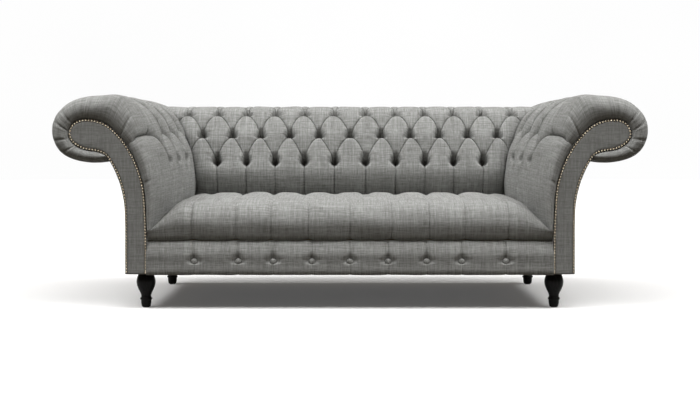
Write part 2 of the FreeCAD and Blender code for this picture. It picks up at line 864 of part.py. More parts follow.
# Springs: one wavy wire each, held at both ends by a clip on a rail
spring_front = front_rail_y + rail_thickness / 2
spring_length = seat_back_rail_y + spring_rear_room - spring_front
spring_turns = 2 * round(spring_length / (4 * spring_turn))
spring_start = spring_front + spring_end_room
spring_bend = (spring_length - 2 * spring_end_room) / (2 * spring_turns)
spring_z = rail_top + clip_height / 2
spring_half_count = math.floor((side_rail_x - spring_edge_room) / spring_spacing - 0.5)
spring_columns = [(i + 0.5) * spring_spacing for i in range(-spring_half_count - 1, spring_half_count + 1)]


def seat_spring():
    """Straight bars across the spring joined by half turns."""
    pieces = []
    side = 1.0
    for i in range(spring_turns + 1):
        y = spring_start + i * 2 * spring_bend
        bar_start = V(-spring_half_width, y, spring_z)
        bar_end = V(side * spring_half_width, y, spring_z)
        pieces.append(Part.makeCylinder(spring_wire, 2 * spring_half_width, bar_start, V(1, 0, 0)))
        if i < spring_turns:
            section = Part.Face(Part.Wire(Part.makeCircle(spring_wire, bar_end, V(1, 0, 0))))
            pieces.append(section.revolve(bar_end + V(0, spring_bend, 0), V(0, 0, side), 180))
        side = -side
    return pieces[0].multiFuse(pieces[1:])


def spring_clip(x, y):
    low = (x - clip_width / 2, y - clip_length / 2, rail_top)
    high = (x + clip_width / 2, y + clip_length / 2, rail_top + clip_height)
    bore = Part.makeCylinder(spring_wire + fit_gap, clip_width, V(low[0], y, spring_z), V(1, 0, 0))
    return box(low, high).cut(bore)


def nails():
    """Dome nails close together round the facing, up the inside, over the scroll and down the outside."""
    place = lambda u, v: V(u, facing_front, v)
    edges = [stretch.edge(nail_edge, place) for stretch in arm_path(leg_height).values()]
    line = Part.Wire(edges)
    points = line.discretize(Number=int(line.Length / nail_pitch))
    rim = V(nail_radius, 0, 0)
    middle_r, middle_z = dome_middle(nail_radius, nail_height)
    tip = V(0, 0, nail_height)
    outline = Part.Wire([
        Part.Arc(rim, V(middle_r, 0, middle_z), tip).toShape(),
        join_line(tip, V(0, 0, 0)),
        join_line(V(0, 0, 0), rim)])
    dome = Part.Face(outline).revolve(V(0, 0, 0), V(0, 0, 1), 360)
    turn = FreeCAD.Rotation(V(0, 0, 1), V(0, -1, 0))
    shapes = []
    for point in points:
        head = dome.copy()
        head.Placement = FreeCAD.Placement(point, turn)
        shapes.append(head)
    return group(shapes)


def arm_boards():
    """Curved inner board from the seat over the roll to the tuck, and the outside panel below it."""
    near = facing_back
    push = V(0, rear_post_back - facing_back, 0)
    place = lambda u, v: V(u, near, v)
    low = list(arm_path(board_bottom).values())
    inner = band(low[:7], board_gap, board_gap + board_thickness, place, push)
    full = list(arm_path(leg_height).values())
    outer = band(full[7:], board_gap, board_gap + board_thickness, place, push)
    return (cut_all(inner, bolt_holes), outer)


os.makedirs("parts", exist_ok=True)

# Upholstery
arm_pad = Part.makeLoft([arm_section(row) for row in arm_filled], True, True)
save_pair("arm_pad", arm_pad)
save_pair("arm_buttons", arm_buttons())
back_sections = [back_section(row) for row in fill_rows(back_rows, row_steps)]
save("back_pad", Part.makeLoft(back_sections, True, True))
save("back_buttons", back_buttons())
seat_sections = [seat_section(row) for row in fill_rows(seat_rows, row_steps)]
save("seat_pad", Part.makeLoft(seat_sections, True, True))
save("seat_core", seat_core())
save("front_border", Part.makeLoft([border_section(row) for row in border_rows], True, True))
save("border_buttons", border_buttons())

# Arm shells and facings
inner_board, outer_panel = arm_boards()
save_pair("arm_inner_board", inner_board)
save_pair("arm_outer_panel", outer_panel)
save_pair("arm_facing", arm_plate(facing_edge, facing_front, facing_back))
save_pair("arm_rear_panel", arm_plate(facing_edge, rear_post_back, arm_rear))
save_pair("facing_nails", nails())

# Arm frames
save_pair("arm_front_post", cut_all(arm_plate(post_inset, facing_back, post_back), right_holes))
rear_post = arm_plate(post_inset, rear_post_front, rear_post_back)
save_pair("arm_rear_post", cut_all(rear_post, right_holes + bolt_holes))
half_side = (roll_radius - post_inset - top_rail_gap) / math.sqrt(2)
top_rail = box((roll_x - half_side, post_back, roll_centre_height - half_side),
               (roll_x + half_side, rear_post_front, roll_centre_height + half_side))
save_pair("arm_top_rail", cut_all(top_rail, right_holes))
stuffing_rail = box((post_x, post_back, stuffing_z),
                    (post_x + stuffing_rail_thickness, rear_post_front, stuffing_z + stuffing_rail_height))
save_pair("arm_stuffing_rail", cut_all(stuffing_rail, right_holes))
side_rail = box((side_rail_x, post_back, rail_bottom),
                (side_rail_x + rail_thickness, rear_post_front, rail_top))
save_pair("side_rail", cut_all(side_rail, right_holes))

# Seat frame
save("front_rail", cut_all(seat_rail(post_x, front_rail_y), all_holes))
save("rear_rail", cut_all(seat_rail(post_x, rear_post_back - rail_thickness), all_holes))
save("seat_back_rail", cut_all(seat_rail(side_rail_x, seat_back_rail_y), all_holes))
cross_rail_top = rail_bottom + cross_rail_height
cross_rail = box((cross_rail_offset - rail_thickness / 2, front_rail_y + rail_thickness, rail_bottom),
                 (cross_rail_offset + rail_thickness / 2, seat_back_rail_y, cross_rail_top))
save_pair("cross_rail", cross_rail)

# Back frame
back_rail_half = (back_roll_radius - post_inset - top_rail_gap) / math.sqrt(2)
back_top_rail = box((-back_half, back_roll_y - back_rail_half, back_roll_height - back_rail_half),
                    (back_half, back_roll_y + back_rail_half, back_roll_height + back_rail_half))
back_stuffing_y = back_y + post_inset
back_stuffing_rail = box((-back_half, back_stuffing_y, stuffing_z),
                         (back_half, back_stuffing_y + stuffing_rail_thickness, back_straight_height))
save("back_top_rail", back_top_rail)
save("back_stuffing_rail", back_stuffing_rail)
end_rib = back_plate(post_inset, back_half - rib_thickness, rib_thickness)
save_pair("back_end_rib", cut_all(end_rib, [back_top_rail, back_stuffing_rail] + bolt_holes))
mid_rib = back_plate(post_inset, mid_rib_offset - rib_thickness / 2, rib_thickness)
save_pair("back_mid_rib", cut_all(mid_rib, [back_top_rail, back_stuffing_rail]))
back_board_half = min(back_half_width(*back_base(row), 0.0) for row in back_rows)
board_path = list(back_path(board_bottom).values())
save("back_inner_board", band(board_path, board_gap, board_gap + board_thickness,
                              lambda u, v: V(-back_board_half, u, v), V(2 * back_board_half, 0, 0)))
save("outside_back_panel", box((-arm_x, back_panel_y, leg_height),
                               (arm_x, back_panel_y + back_panel_thickness, back_panel_top)))

# Legs and corner blocks
right_legs = list(leg_places.values())
both_sides = right_legs + [(-x, y) for x, y in right_legs]
for end, (x, y) in leg_places.items():
    save_pair("leg_" + end, leg(x, y))
    save_pair("corner_block_" + end, corner_block(x, y, end == "front"))
save("leg_bolts", group([leg_bolt(x, y) for x, y in both_sides]))
save("leg_tee_nuts", group([tee_nut(x, y) for x, y in both_sides]))
save("leg_glides", group([glide(x, y) for x, y in both_sides]))

# Springs, covers below and small fixings
spring = seat_spring()
save("seat_springs", group([spring.translated(V(x, 0, 0)) for x in spring_columns]))
spring_ends = (spring_start, spring_start + spring_turns * 2 * spring_bend)
save("spring_clips", group([spring_clip(x, y) for x in spring_columns for y in spring_ends]))
dust_cover = box((-side_rail_x, front_rail_y, rail_bottom - cover_thickness),
                 (side_rail_x, rear_post_back, rail_bottom))
corners = [block_body(front) for front in (True, False)]
corners.append(arm_plate(post_inset, facing_back, post_back))
corners.append(arm_plate(post_inset, rear_post_front, rear_post_back))
save("dust_cover", cut_all(dust_cover, corners + [mirrored(corner) for corner in corners]))
hessian_bottom = board_bottom - hessian_thickness - skin_gap
save("seat_hessian", box((-back_board_half, front_rail_y + rail_thickness / 2, hessian_bottom),
                         (back_board_half, back_y - skin_gap, hessian_bottom + hessian_thickness)))
save("frame_dowels", group([s for c, a in dowel_places() for s in (dowel(c, a), mirrored(dowel(c, a)))]))
right_bolts = [back_bolt(z) for z in back_bolt_heights]
save("back_bolts", group(right_bolts + [mirrored(bolt) for bolt in right_bolts]))
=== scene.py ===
# %% [markdown]
# # A buttoned sofa with scroll arms
# A hardwood frame carries padding, and one linen cover is pulled over it and held by buttons. The
# frame, the boards and the springs come from a finished solid model. This lesson makes what the eye
# meets: puffs, pleats, buttons, brass nails, black legs, cloth and light. Everything stays in the
# model's own frame, so a piece is right as soon as its numbers are right.

# %% Load the frame
import math
import bmesh
import bpy
import numpy as np
from mathutils import Matrix


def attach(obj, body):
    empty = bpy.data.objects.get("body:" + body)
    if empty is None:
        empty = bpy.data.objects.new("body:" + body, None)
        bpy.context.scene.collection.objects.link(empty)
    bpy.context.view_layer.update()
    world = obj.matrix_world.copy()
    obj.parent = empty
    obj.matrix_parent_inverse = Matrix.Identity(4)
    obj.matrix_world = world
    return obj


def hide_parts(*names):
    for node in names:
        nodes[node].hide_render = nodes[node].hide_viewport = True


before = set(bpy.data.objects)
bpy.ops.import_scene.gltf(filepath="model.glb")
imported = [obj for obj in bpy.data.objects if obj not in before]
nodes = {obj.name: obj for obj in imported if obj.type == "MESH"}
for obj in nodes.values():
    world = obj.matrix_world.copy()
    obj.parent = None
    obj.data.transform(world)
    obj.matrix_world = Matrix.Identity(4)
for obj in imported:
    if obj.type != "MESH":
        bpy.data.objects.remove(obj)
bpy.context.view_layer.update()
MM = 0.001
scene = bpy.context.scene

# %% [markdown]
# ## The camera
# The picture is taken from straight ahead, a little below the height of the arms, with a fairly
# long lens. Front and back of the sofa differ in scale by a sixth, which puts the camera about 4.8
# m before the front. The lens follows from the width in the picture. The camera looks down by a
# small angle, so no lens shift is needed.

# %% Camera
PICTURE = (700, 400)
CAMERA_PLACE = (0.0, -5.275, 0.625)
PIXELS_PER_RADIAN = 1303.0
HORIZON_ROW = 140.5

camera_data = bpy.data.cameras.new("camera")
camera_data.sensor_width = 36.0
camera_data.lens = PIXELS_PER_RADIAN * camera_data.sensor_width / PICTURE[0]
camera = bpy.data.objects.new("camera", camera_data)
camera.location = CAMERA_PLACE
tilt = math.atan((PICTURE[1] / 2 - HORIZON_ROW) / PIXELS_PER_RADIAN)
camera.rotation_euler = (math.pi / 2 - tilt, 0.0, 0.0)
scene.collection.objects.link(camera)
scene.camera = camera
print("lens %.1f mm, tilt %.2f degrees" % (camera_data.lens, math.degrees(tilt)))

# %% [markdown]
# ## Small tools for materials
# A material is a chain of nodes. Writing each one out by hand hides the idea, so a few short
# helpers add a node, set its sockets and join it to the others. Cloth, wood and metal all end in
# the same way: a grain sets the roughness and the bump of one shader.

# %% Node helpers
GRAIN_RANGE = (0.3, 0.7)


def new_material(name):
    """An empty material and its node tree."""
    material = bpy.data.materials.new(name)
    material.use_nodes = True
    material.node_tree.nodes.clear()
    return material, material.node_tree


def add_node(tree, kind, inputs=None, **settings):
    """A node with its settings; inputs maps a socket to a value or to another node's output."""
    node = tree.nodes.new(kind)
    for key, value in settings.items():
        setattr(node, key, value)
    for key, value in (inputs or {}).items():
        if isinstance(value, bpy.types.NodeSocket):
            tree.links.new(value, node.inputs[key])
        else:
            node.inputs[key].default_value = value
    return node


def maths(tree, operation, first, second=0.0):
    return add_node(tree, "ShaderNodeMath", {0: first, 1: second}, operation=operation).outputs[0]


def own_space(tree):
    return add_node(tree, "ShaderNodeTexCoord").outputs["Object"]


def stretched_noise(tree, vector, scale, detail=2.0, roughness=0.5):
    """Noise that is drawn out along one direction: scale gives features per metre each way."""
    mapping = add_node(tree, "ShaderNodeMapping", {"Vector": vector, "Scale": scale})
    return add_node(tree, "ShaderNodeTexNoise", {
        "Vector": mapping.outputs[0], "Scale": 1.0, "Detail": detail,
        "Roughness": roughness}).outputs["Fac"]


def ramp_value(tree, value, start, end, low, high):
    """Goes from low to high while the value goes from start to end."""
    sockets = {0: value, 1: start, 2: end, 3: low, 4: high}
    return add_node(tree, "ShaderNodeMapRange", sockets).outputs[0]


def ramp_colour(tree, factor, stops):
    node = add_node(tree, "ShaderNodeValToRGB", {"Fac": factor})
    elements = node.color_ramp.elements
    while len(elements) < len(stops):
        elements.new(0.5)
    for element, (place, colour) in zip(elements, stops):
        element.position = place
        element.color = (*colour, 1.0)
    return node.outputs["Color"]


def show(tree, shader):
    add_node(tree, "ShaderNodeOutputMaterial", {"Surface": shader.outputs[0]})


def show_grained(tree, colour, grain, rough, bump, distance, relief=None, more=None):
    """One shader whose roughness runs between two values with the grain; relief is the bump."""
    height = grain if relief is None else relief
    raised = add_node(tree, "ShaderNodeBump",
                      {"Strength": bump, "Distance": distance, "Height": height})
    show(tree, add_node(tree, "ShaderNodeBsdfPrincipled", {
        "Base Color": colour, "Roughness": ramp_value(tree, grain, *GRAIN_RANGE, *rough),
        "Normal": raised.outputs[0], **(more or {})}))


print("helpers ready")

# %% [markdown]
# ## Grey linen
# Linen yarn is uneven: thick and thin stretches, called slubs, show as short light and dark streaks
# along both thread directions. At arm's length the streaks matter more than the single threads. So
# the colour is two sets of stretched noise at right angles, in a fine and a broad size, and the
# bump adds the plain weave under them. The pattern reads a UV map in metres along the cloth, so it
# bends with the cover as real cloth does. The panels carry the same cloth pulled flat.

# %% Linen
LINEN_DARK = (0.150, 0.148, 0.140)
LINEN_MIDDLE = (0.285, 0.288, 0.279)
LINEN_LIGHT = (0.440, 0.445, 0.434)
FINE_SLUBS = (34.0, 480.0)
BROAD_SLUBS = (6.0, 150.0)
CLOUDS = (9.0, 9.0, 1.0)
FINE_SHARE, BROAD_SHARE, CLOUD_SHARE, WEAVE_SHARE = 0.28, 0.19, 0.06, 0.25
THREAD_PITCH = 0.0016


def slubs(tree, cloth, scale, detail):
    """Streaks along the weft, and the sum of streaks both ways."""
    along, across = scale
    weft = stretched_noise(tree, cloth, (along, across, 1.0), detail)
    warp = stretched_noise(tree, cloth, (across, along, 1.0), detail)
    return weft, maths(tree, "ADD", weft, warp)


def linen(name, spread):
    """Linen whose streaks reach the dark and the light colour at spread from the middle tone."""
    material, tree = new_material(name)
    cloth = add_node(tree, "ShaderNodeUVMap", uv_map="cloth").outputs[0]
    weft, fine = slubs(tree, cloth, FINE_SLUBS, 2.0)
    broad = slubs(tree, cloth, BROAD_SLUBS, 1.0)[1]
    streaks = maths(tree, "ADD", maths(tree, "MULTIPLY", fine, FINE_SHARE),
                    maths(tree, "MULTIPLY", broad, BROAD_SHARE))
    cloudy = stretched_noise(tree, cloth, CLOUDS, 3.0)
    tone = maths(tree, "ADD", streaks, maths(tree, "MULTIPLY", cloudy, CLOUD_SHARE))
    colour = ramp_colour(tree, tone, [(0.5 - spread, LINEN_DARK), (0.5, LINEN_MIDDLE),
                                      (0.5 + spread, LINEN_LIGHT)])
    threads = add_node(tree, "ShaderNodeMapping",
                       {"Vector": cloth, "Scale": (2 * math.pi / THREAD_PITCH,) * 3})
    x, y, unused = add_node(tree, "ShaderNodeSeparateXYZ", {0: threads.outputs[0]}).outputs
    weave = maths(tree, "MULTIPLY", maths(tree, "SINE", x), maths(tree, "SINE", y))
    relief = maths(tree, "ADD", fine, maths(tree, "MULTIPLY", weave, WEAVE_SHARE))
    show_grained(tree, colour, weft, (0.82, 0.96), 0.35, 0.0012, relief, {
        "Specular IOR Level": 0.06, "Sheen Weight": 0.02, "Sheen Roughness": 0.5})
    return material


linen_cover = linen("grey_linen", 0.142)
linen_flat = linen("grey_linen_panel", 0.185)
print("linen:", len(linen_cover.node_tree.nodes), "nodes")

# %% [markdown]
# ## Smooth outlines
# Every pad follows an outline: the back from the seat over its rolled top, the arms from the seat
# over the scroll, the seat from the border over its front edge. A few measured points and a natural
# cubic spline give each outline, and its length along the cloth becomes the second direction of the
# cloth's own coordinates, v. The first, u, runs along the sofa or along the arm. Lengths are in
# millimetres from here on, and turn into metres when a mesh is made.

# %% Splines
def spline(places, values, wanted):
    """Natural cubic spline through values at places, read at wanted."""
    x = np.asarray(places, float)
    y = np.asarray(values, float)
    count = len(x)
    step = np.diff(x)
    matrix = np.eye(count)
    right = np.zeros_like(y)
    for i in range(1, count - 1):
        matrix[i, i - 1:i + 2] = step[i - 1], 2 * (step[i - 1] + step[i]), step[i]
        right[i] = 6 * ((y[i + 1] - y[i]) / step[i] - (y[i] - y[i - 1]) / step[i - 1])
    curve = np.linalg.solve(matrix, right)
    wanted = np.asarray(wanted, float)
    k = np.clip(np.searchsorted(x, wanted) - 1, 0, count - 2)
    h = step[k]
    before = ((x[k + 1] - wanted) / h)[..., None]
    after = 1.0 - before
    bend = (before ** 3 - before) * curve[k] + (after ** 3 - after) * curve[k + 1]
    return before * y[k] + after * y[k + 1] + bend * (h * h / 6)[..., None]


def lengths_along(points):
    """Length from the first point to each point."""
    steps = np.linalg.norm(np.diff(np.asarray(points, float), axis=0), axis=1)
    return np.concatenate([[0.0], np.cumsum(steps)])


def ease_in(x):
    """A pad's edge: straight up at 0, level at 1, as a quarter of a circle is."""
    x = np.clip(x, 0.0, 1.0)
    return np.sqrt(1.0 - (1.0 - x) ** 2)


def smooth_step(low, high, x):
    t = np.clip((np.asarray(x, float) - low) / (high - low), 0.0, 1.0)
    return t * t * (3 - 2 * t)


print("a quarter edge at a half:", round(float(ease_in(0.5)), 3))

# %% [markdown]
# ## Pleats
# Deep buttoning sets buttons in staggered rows. Between the buttons the spare cloth is folded into
# pleats, and what lies between pleats is a puff. A pleat could be a straight line, but from a
# button it leaves almost level and then falls steeply to the next row, so the puffs look like
# onions. A bowed line, mixed from a straight one and a quarter of a circle, gives that.

# %% Pleat lines
PLEAT_CELLS = 26


def crowd_ends(count):
    """Shares from 0 to 1, close together at both ends, where the pleats are."""
    return (1.0 - np.cos(np.linspace(0.0, math.pi, count + 1))) / 2


def pleat(upper, lower, bow):
    """From an upper button to a lower one; bow is how level it leaves the upper one."""
    t = crowd_ends(PLEAT_CELLS)
    across = (1 - bow) * t + bow * np.sin(t * math.pi / 2)
    down = (1 - bow) * t + bow * (1 - np.cos(t * math.pi / 2))
    return np.stack([upper[0] + (lower[0] - upper[0]) * across,
                     upper[1] + (lower[1] - upper[1]) * down], 1)


def straight(first, last, cells=PLEAT_CELLS):
    t = crowd_ends(cells)[:, None]
    return np.asarray(first, float) * (1 - t) + np.asarray(last, float) * t


def join(first, second):
    return np.concatenate([first, second[1:]])


def level(left, middle, right, v):
    """A level edge in two halves, as long as two pleats."""
    return join(straight((left, v), (middle, v)), straight((middle, v), (right, v)))


print("a pleat of", len(pleat((0, 1), (1, 0), 0.5)), "points")

# %% [markdown]
# ## Puffs
# A grid that ignores the pleats would saw across them. Here each puff is a patch of its own whose
# edges lie on the pleats. It is filled in between its four edges, as hull and body panels are, and
# the patches are welded along the pleats. A third number goes with each point: fullness, 0 on a
# pleat and 1 on the crown. The flat result is cut where one pad meets the next.

# %% Patches
WELD = 0.02
CUT_SNAP = 1e-4


class Cover:
    """Patches of one cover, in cloth coordinates, with their fullness."""

    def __init__(self):
        self.points = []
        self.faces = []
        self.count = 0

    def patch(self, bottom, top, left, right, rims, widths):
        """Fills between four edges; rims says which of left, right, bottom and top are pleats,
        widths how far the fullness takes to rise, as shares of the patch across and up."""
        a = crowd_ends(len(bottom) - 1)
        if len(a) > 2 * PLEAT_CELLS:
            half = crowd_ends(PLEAT_CELLS) / 2
            a = join(half, 0.5 + half)
        b = crowd_ends(len(left) - 1)
        a2, b2 = a[None, :, None], b[:, None, None]
        grid = ((1 - b2) * bottom[None] + b2 * top[None]
                + (1 - a2) * left[:, None] + a2 * right[:, None])
        grid = grid - ((1 - a2) * (1 - b2) * bottom[0] + a2 * (1 - b2) * bottom[-1]
                       + (1 - a2) * b2 * top[0] + a2 * b2 * top[-1])
        fullness = np.ones((len(b), len(a)))
        distances = (a[None, :], 1 - a[None, :], b[:, None], 1 - b[:, None])
        for pleated, distance, width in zip(rims, distances, np.repeat(widths, 2)):
            if pleated:
                fullness = fullness * ease_in(distance / width)
        self.add(grid, fullness)

    def add(self, grid, fullness):
        rows, columns = fullness.shape
        number = self.count + np.arange(rows * columns).reshape(rows, columns)
        quads = np.stack([number[:-1, :-1], number[:-1, 1:], number[1:, 1:], number[1:, :-1]], -1)
        self.points.append(np.concatenate([grid, fullness[..., None]], -1).reshape(-1, 3))
        self.faces.append(quads.reshape(-1, 4))
        self.count += rows * columns

    def welded(self):
        points = np.concatenate(self.points)
        faces = np.concatenate(self.faces)
        keys = np.round(points[:, :2] / WELD).astype(np.int64)
        unused, first, where = np.unique(keys, axis=0, return_index=True, return_inverse=True)
        return points[first], where.reshape(-1)[faces]


def flat_mesh(cover, cuts=()):
    """The welded patches, cut along the lines in cuts: each a function and the side to drop."""
    points, faces = cover.welded()
    flat = bmesh.new()
    verts = [flat.verts.new(p) for p in points]
    for face in faces.tolist():
        ring = list(dict.fromkeys(face))
        if len(ring) > 2:
            flat.faces.new([verts[i] for i in ring])
    for line, side in cuts:
        for v in flat.verts:
            v.co.x -= float(line(v.co.y))
        geometry = flat.verts[:] + flat.edges[:] + flat.faces[:]
        bmesh.ops.bisect_plane(flat, geom=geometry, dist=CUT_SNAP, plane_co=(0, 0, 0),
                               plane_no=(side, 0, 0), clear_outer=True)
        for v in flat.verts:
            v.co.x += float(line(v.co.y))
    bmesh.ops.delete(flat, geom=[v for v in flat.verts if not v.link_faces], context="VERTS")
    return flat


def grid_mesh(columns, rows, cuts=()):
    """A plain grid, for pads and panels without puffs."""
    cover = Cover()
    u, v = np.meshgrid(columns, rows)
    cover.add(np.stack([u, v], -1), np.ones_like(u))
    return flat_mesh(cover, cuts)


print("patches of", PLEAT_CELLS, "cells along a pleat")

# %% [markdown]
# ## Closing a pad behind
# A cover alone is a loose skin without thickness. A pad is a body: the rim of the cover is carried
# down to the board, and the two sides are zipped together across the back. For that the open edge
# has to be put in order, point after point, as one ring.

# %% Rim and zip
def rim_loop(flat):
    """The open edge of a flat cover as one ring of vertices."""
    neighbours = {}
    for edge in flat.edges:
        if edge.is_boundary:
            a, b = edge.verts
            neighbours.setdefault(a, []).append(b)
            neighbours.setdefault(b, []).append(a)
    start = min(neighbours, key=lambda w: (round(w.co.y, 2), w.co.x))
    ring = [start]
    last, here = None, start
    while True:
        following = [w for w in neighbours[here]
                     if w is not last and (w is start or w not in ring[-2:])]
        last, here = here, following[0]
        if here is start or len(ring) > len(neighbours):
            return ring
        ring.append(here)


def zip_sides(ring):
    """Triangles across a ring whose v rises on one side and falls on the other."""
    top = max(range(len(ring)), key=lambda i: (ring[i].co.y, -ring[i].co.x))
    one = ring[:top + 1]
    other = [ring[0]] + ring[:top - 1:-1]
    if len(one) > 2 and abs(one[1].co.y - one[0].co.y) < abs(other[1].co.y - other[0].co.y):
        one, other = other, one
    triangles = [(one[0], other[1], one[1])]
    i = j = 1
    while i < len(one) - 1 or j < len(other) - 1:
        hold = i >= len(one) - 2 and j < len(other) - 1
        if j < len(other) - 1 and (hold or other[j + 1].co.y <= one[i + 1].co.y):
            triangles.append((one[i], other[j], other[j + 1]))
            j += 1
        else:
            triangles.append((one[i], other[j], one[i + 1]))
            i += 1
    return [t for t in triangles if len(set(t)) == 3]


print("rims can be zipped")

# %% [markdown]
# ## From cloth coordinates to a pad
# A pad is its crown surface pushed inwards by the sink of each point. The direction is the
# surface's own normal, found from two small steps. A cloth simulation could press the cover into
# shape too. Sinking it by a formula keeps every fold at its measured place.

# %% Raising a pad
SMALL_STEP = 0.25


def surface_frame(surface, u, v):
    """Points and outward normals of a surface given as a function of the cloth coordinates."""
    along = surface(u + SMALL_STEP, v) - surface(u - SMALL_STEP, v)
    up = surface(u, v + SMALL_STEP) - surface(u, v - SMALL_STEP)
    normal = np.cross(along, up)
    length = np.linalg.norm(normal, axis=-1, keepdims=True)
    return surface(u, v), normal / np.maximum(length, 1e-9)


def mesh_object(name, points, faces, material, cloth=None):
    """A smooth-shaded object at the origin; points and cloth coordinates in millimetres."""
    mesh = bpy.data.meshes.new(name)
    mesh.from_pydata([tuple(p) for p in np.asarray(points) * MM], [], faces)
    mesh.materials.append(material)
    if cloth is not None:
        layer = mesh.uv_layers.new(name="cloth")
        corner = np.zeros(len(mesh.loops), np.int32)
        mesh.loops.foreach_get("vertex_index", corner)
        layer.data.foreach_set("uv", (np.asarray(cloth)[corner] * MM).astype(np.float32).ravel())
    return show_mesh(name, mesh)


def show_mesh(name, mesh):
    mesh.shade_smooth()
    piece = bpy.data.objects.new(name, mesh)
    scene.collection.objects.link(piece)
    return piece


def point_outwards(piece):
    turned_mesh = bmesh.new()
    turned_mesh.from_mesh(piece.data)
    bmesh.ops.recalc_face_normals(turned_mesh, faces=turned_mesh.faces[:])
    turned_mesh.to_mesh(piece.data)
    turned_mesh.free()


def raise_pad(name, flat, surface, sink, base, material=linen_cover, cloth_of=None):
    """The pad over a flat cover: sink pushes points in, base says where the board is behind."""
    flat.verts.index_update()
    table = np.array([v.co for v in flat.verts])
    u, v, fullness = table.T
    points, normals = surface_frame(surface, u, v)
    front = points - normals * sink(u, v, fullness)[:, None]
    faces = [[w.index for w in f.verts] for f in flat.faces]
    ring = rim_loop(flat)
    behind = {w: len(table) + i for i, w in enumerate(ring)}
    numbers = [w.index for w in ring]
    for first, second in zip(ring, ring[1:] + ring[:1]):
        faces.append([first.index, second.index, behind[second], behind[first]])
    for triangle in zip_sides(ring):
        faces.append([behind[w] for w in triangle])
    points = np.concatenate([front, base(u[numbers], v[numbers])])
    cloth = cloth_of(points) if cloth_of else np.concatenate([table, table[numbers]])[:, :2]
    piece = mesh_object(name, points, faces, material, cloth)
    flat.free()
    point_outwards(piece)
    print(name, len(piece.data.polygons), "faces")
    return piece


print("pads can be raised")

# %% [markdown]
# ## Buttons pull
# A button draws the cloth into a pit. Above it the puff folds over the pit, so the pit is drawn out
# upwards, and the spare cloth gathers there in fine folds that fan from the button. Below it the
# next puff starts at once. Pleats are deepest next to a button. A bump map would not hide what lies
# in a pit, so all of this is in the shape. Slow waves add what a hand leaves uneven.

# %% Pits and gathers
GATHERS = 15
GATHER_REACH = 34.0
GATHER_SHIFT = 1.7
WAVES = 6


def pits(u, v, buttons, depth, reach, above, below, fold=0.0, notch=0.0):
    """Sink from the buttons: reach sideways, above and below; fold is the gathers' height. With a
    notch the pit runs down to a point of that length and does not end on the next puff."""
    total = np.zeros_like(u)
    for number, (bu, bv) in enumerate(buttons):
        du, dv = u - bu, v - bv
        near = (np.abs(du) < 5 * reach) & (dv < 4 * above) & (dv > -max(5 * below, notch))
        du, dv = du[near], dv[near]
        narrow = np.clip(1 + dv / notch, 0.02, 1.0) if notch else 1.0
        lower = 0.0 if notch else dv / below
        wide = reach * narrow * (1 - 0.5 * np.clip(dv / (1.3 * above), 0.0, 1.0))
        r = np.sqrt((du / wide) ** 2 + np.where(dv > 0, dv / above, lower) ** 2)
        pit = depth * narrow ** 2 * np.exp(-r ** 3)
        if fold:
            away = np.hypot(du, dv)
            turn = np.arctan2(du, np.maximum(dv, 0.0) + 6.0)
            strength = (np.exp(-(away / GATHER_REACH) ** 2) * smooth_step(7.0, 15.0, away)
                        * smooth_step(-4.0, 10.0, dv))
            pit = pit + fold * np.cos(GATHERS * turn + GATHER_SHIFT * number) * strength
        total[near] += pit
    return total


def pits_of_rows(u, v, rows):
    return sum(pits(u, v, buttons, **sizes) for buttons, sizes in rows)


def fold_in(fullness, broad, sharp, edge=6):
    """A puff's sink: a broad rounding and a sharp fold at the pleat, wider for a small edge."""
    low = 1 - fullness
    return broad * low + sharp * low ** edge


def near_buttons(u, v, buttons, extra, reach):
    """1 far from all buttons, more by extra on a button."""
    best = np.full(u.shape, np.inf)
    for bu, bv in buttons:
        best = np.minimum(best, np.hypot(u - bu, v - bv))
    return 1 + extra * np.exp(-(best / reach) ** 2)


def unevenness(u, v, size, seed):
    """Slow hand-made irregularity, from a few waves with fixed random directions."""
    draw = np.random.default_rng(seed)
    total = np.zeros_like(u)
    for unused in range(WAVES):
        turn = draw.uniform(0, 2 * math.pi)
        wave = 2 * math.pi / draw.uniform(70, 190)
        across = (u * math.cos(turn) + v * math.sin(turn)) * wave
        total += np.cos(across + draw.uniform(0, 2 * math.pi))
    return size * total / WAVES


print("gathers round a button:", GATHERS)

# %% [markdown]
# ## The back's outline and buttons
# Three staggered rows of buttons, 126 mm apart: ten low, eleven in the middle, twelve on the curve
# of the top. The tables go along the outline, point by point: where the ends are, how round the
# puffs are, how deep the pleats, how thick the pad. No two buttons were sewn at quite the same
# distance, so a second table moves the even columns to the places where they were sewn.

# %% Back outline
PITCH = 126.0
HALF = PITCH / 2
BACK_OUTLINE = [(200, 320), (178, 372), (156, 415), (140, 447), (130, 478), (129, 507), (137, 538),
                (149, 578), (159, 612), (169, 645), (186, 675), (206, 708), (227, 738), (252, 755),
                (295, 767), (345, 770), (400, 764), (450, 737), (475, 675), (463, 634), (441, 617)]
BACK_ENDS = [655, 650, 647, 646, 645, 648, 652, 664, 676, 690, 703, 724, 750, 770, 790, 800, 790,
             765, 757, 757, 757]
BACK_ROUNDING = [6, 7, 8, 9, 9, 9, 9, 9, 9, 9, 9, 9, 8, 6, 4, 3, 3, 3, 3, 2, 2]
BACK_FOLDS = [3, 5, 7, 8, 8, 8, 7, 5, 5, 5, 5, 5, 5, 6, 5, 4, 2, 2, 1, 1, 1]
BACK_THICKNESS = [48, 70, 91, 107, 115, 114, 105, 96, 92, 88, 84, 80, 71, 63, 56, 55, 54, 52, 50,
                  30, 6]
SET_OUT = [0, 126, 252, 378, 504, 630, 693, 760, 800]
SEWN = [0, 129, 251, 372, 491, 615, 677, 752, 800]

back_v = lengths_along(BACK_OUTLINE)
back_low, back_middle, back_high = back_v[6], back_v[9], back_v[12]


def columns(reach):
    """Places one pitch apart, up to reach pitches from the middle on both sides."""
    return np.arange(-reach, reach + 0.5) * PITCH


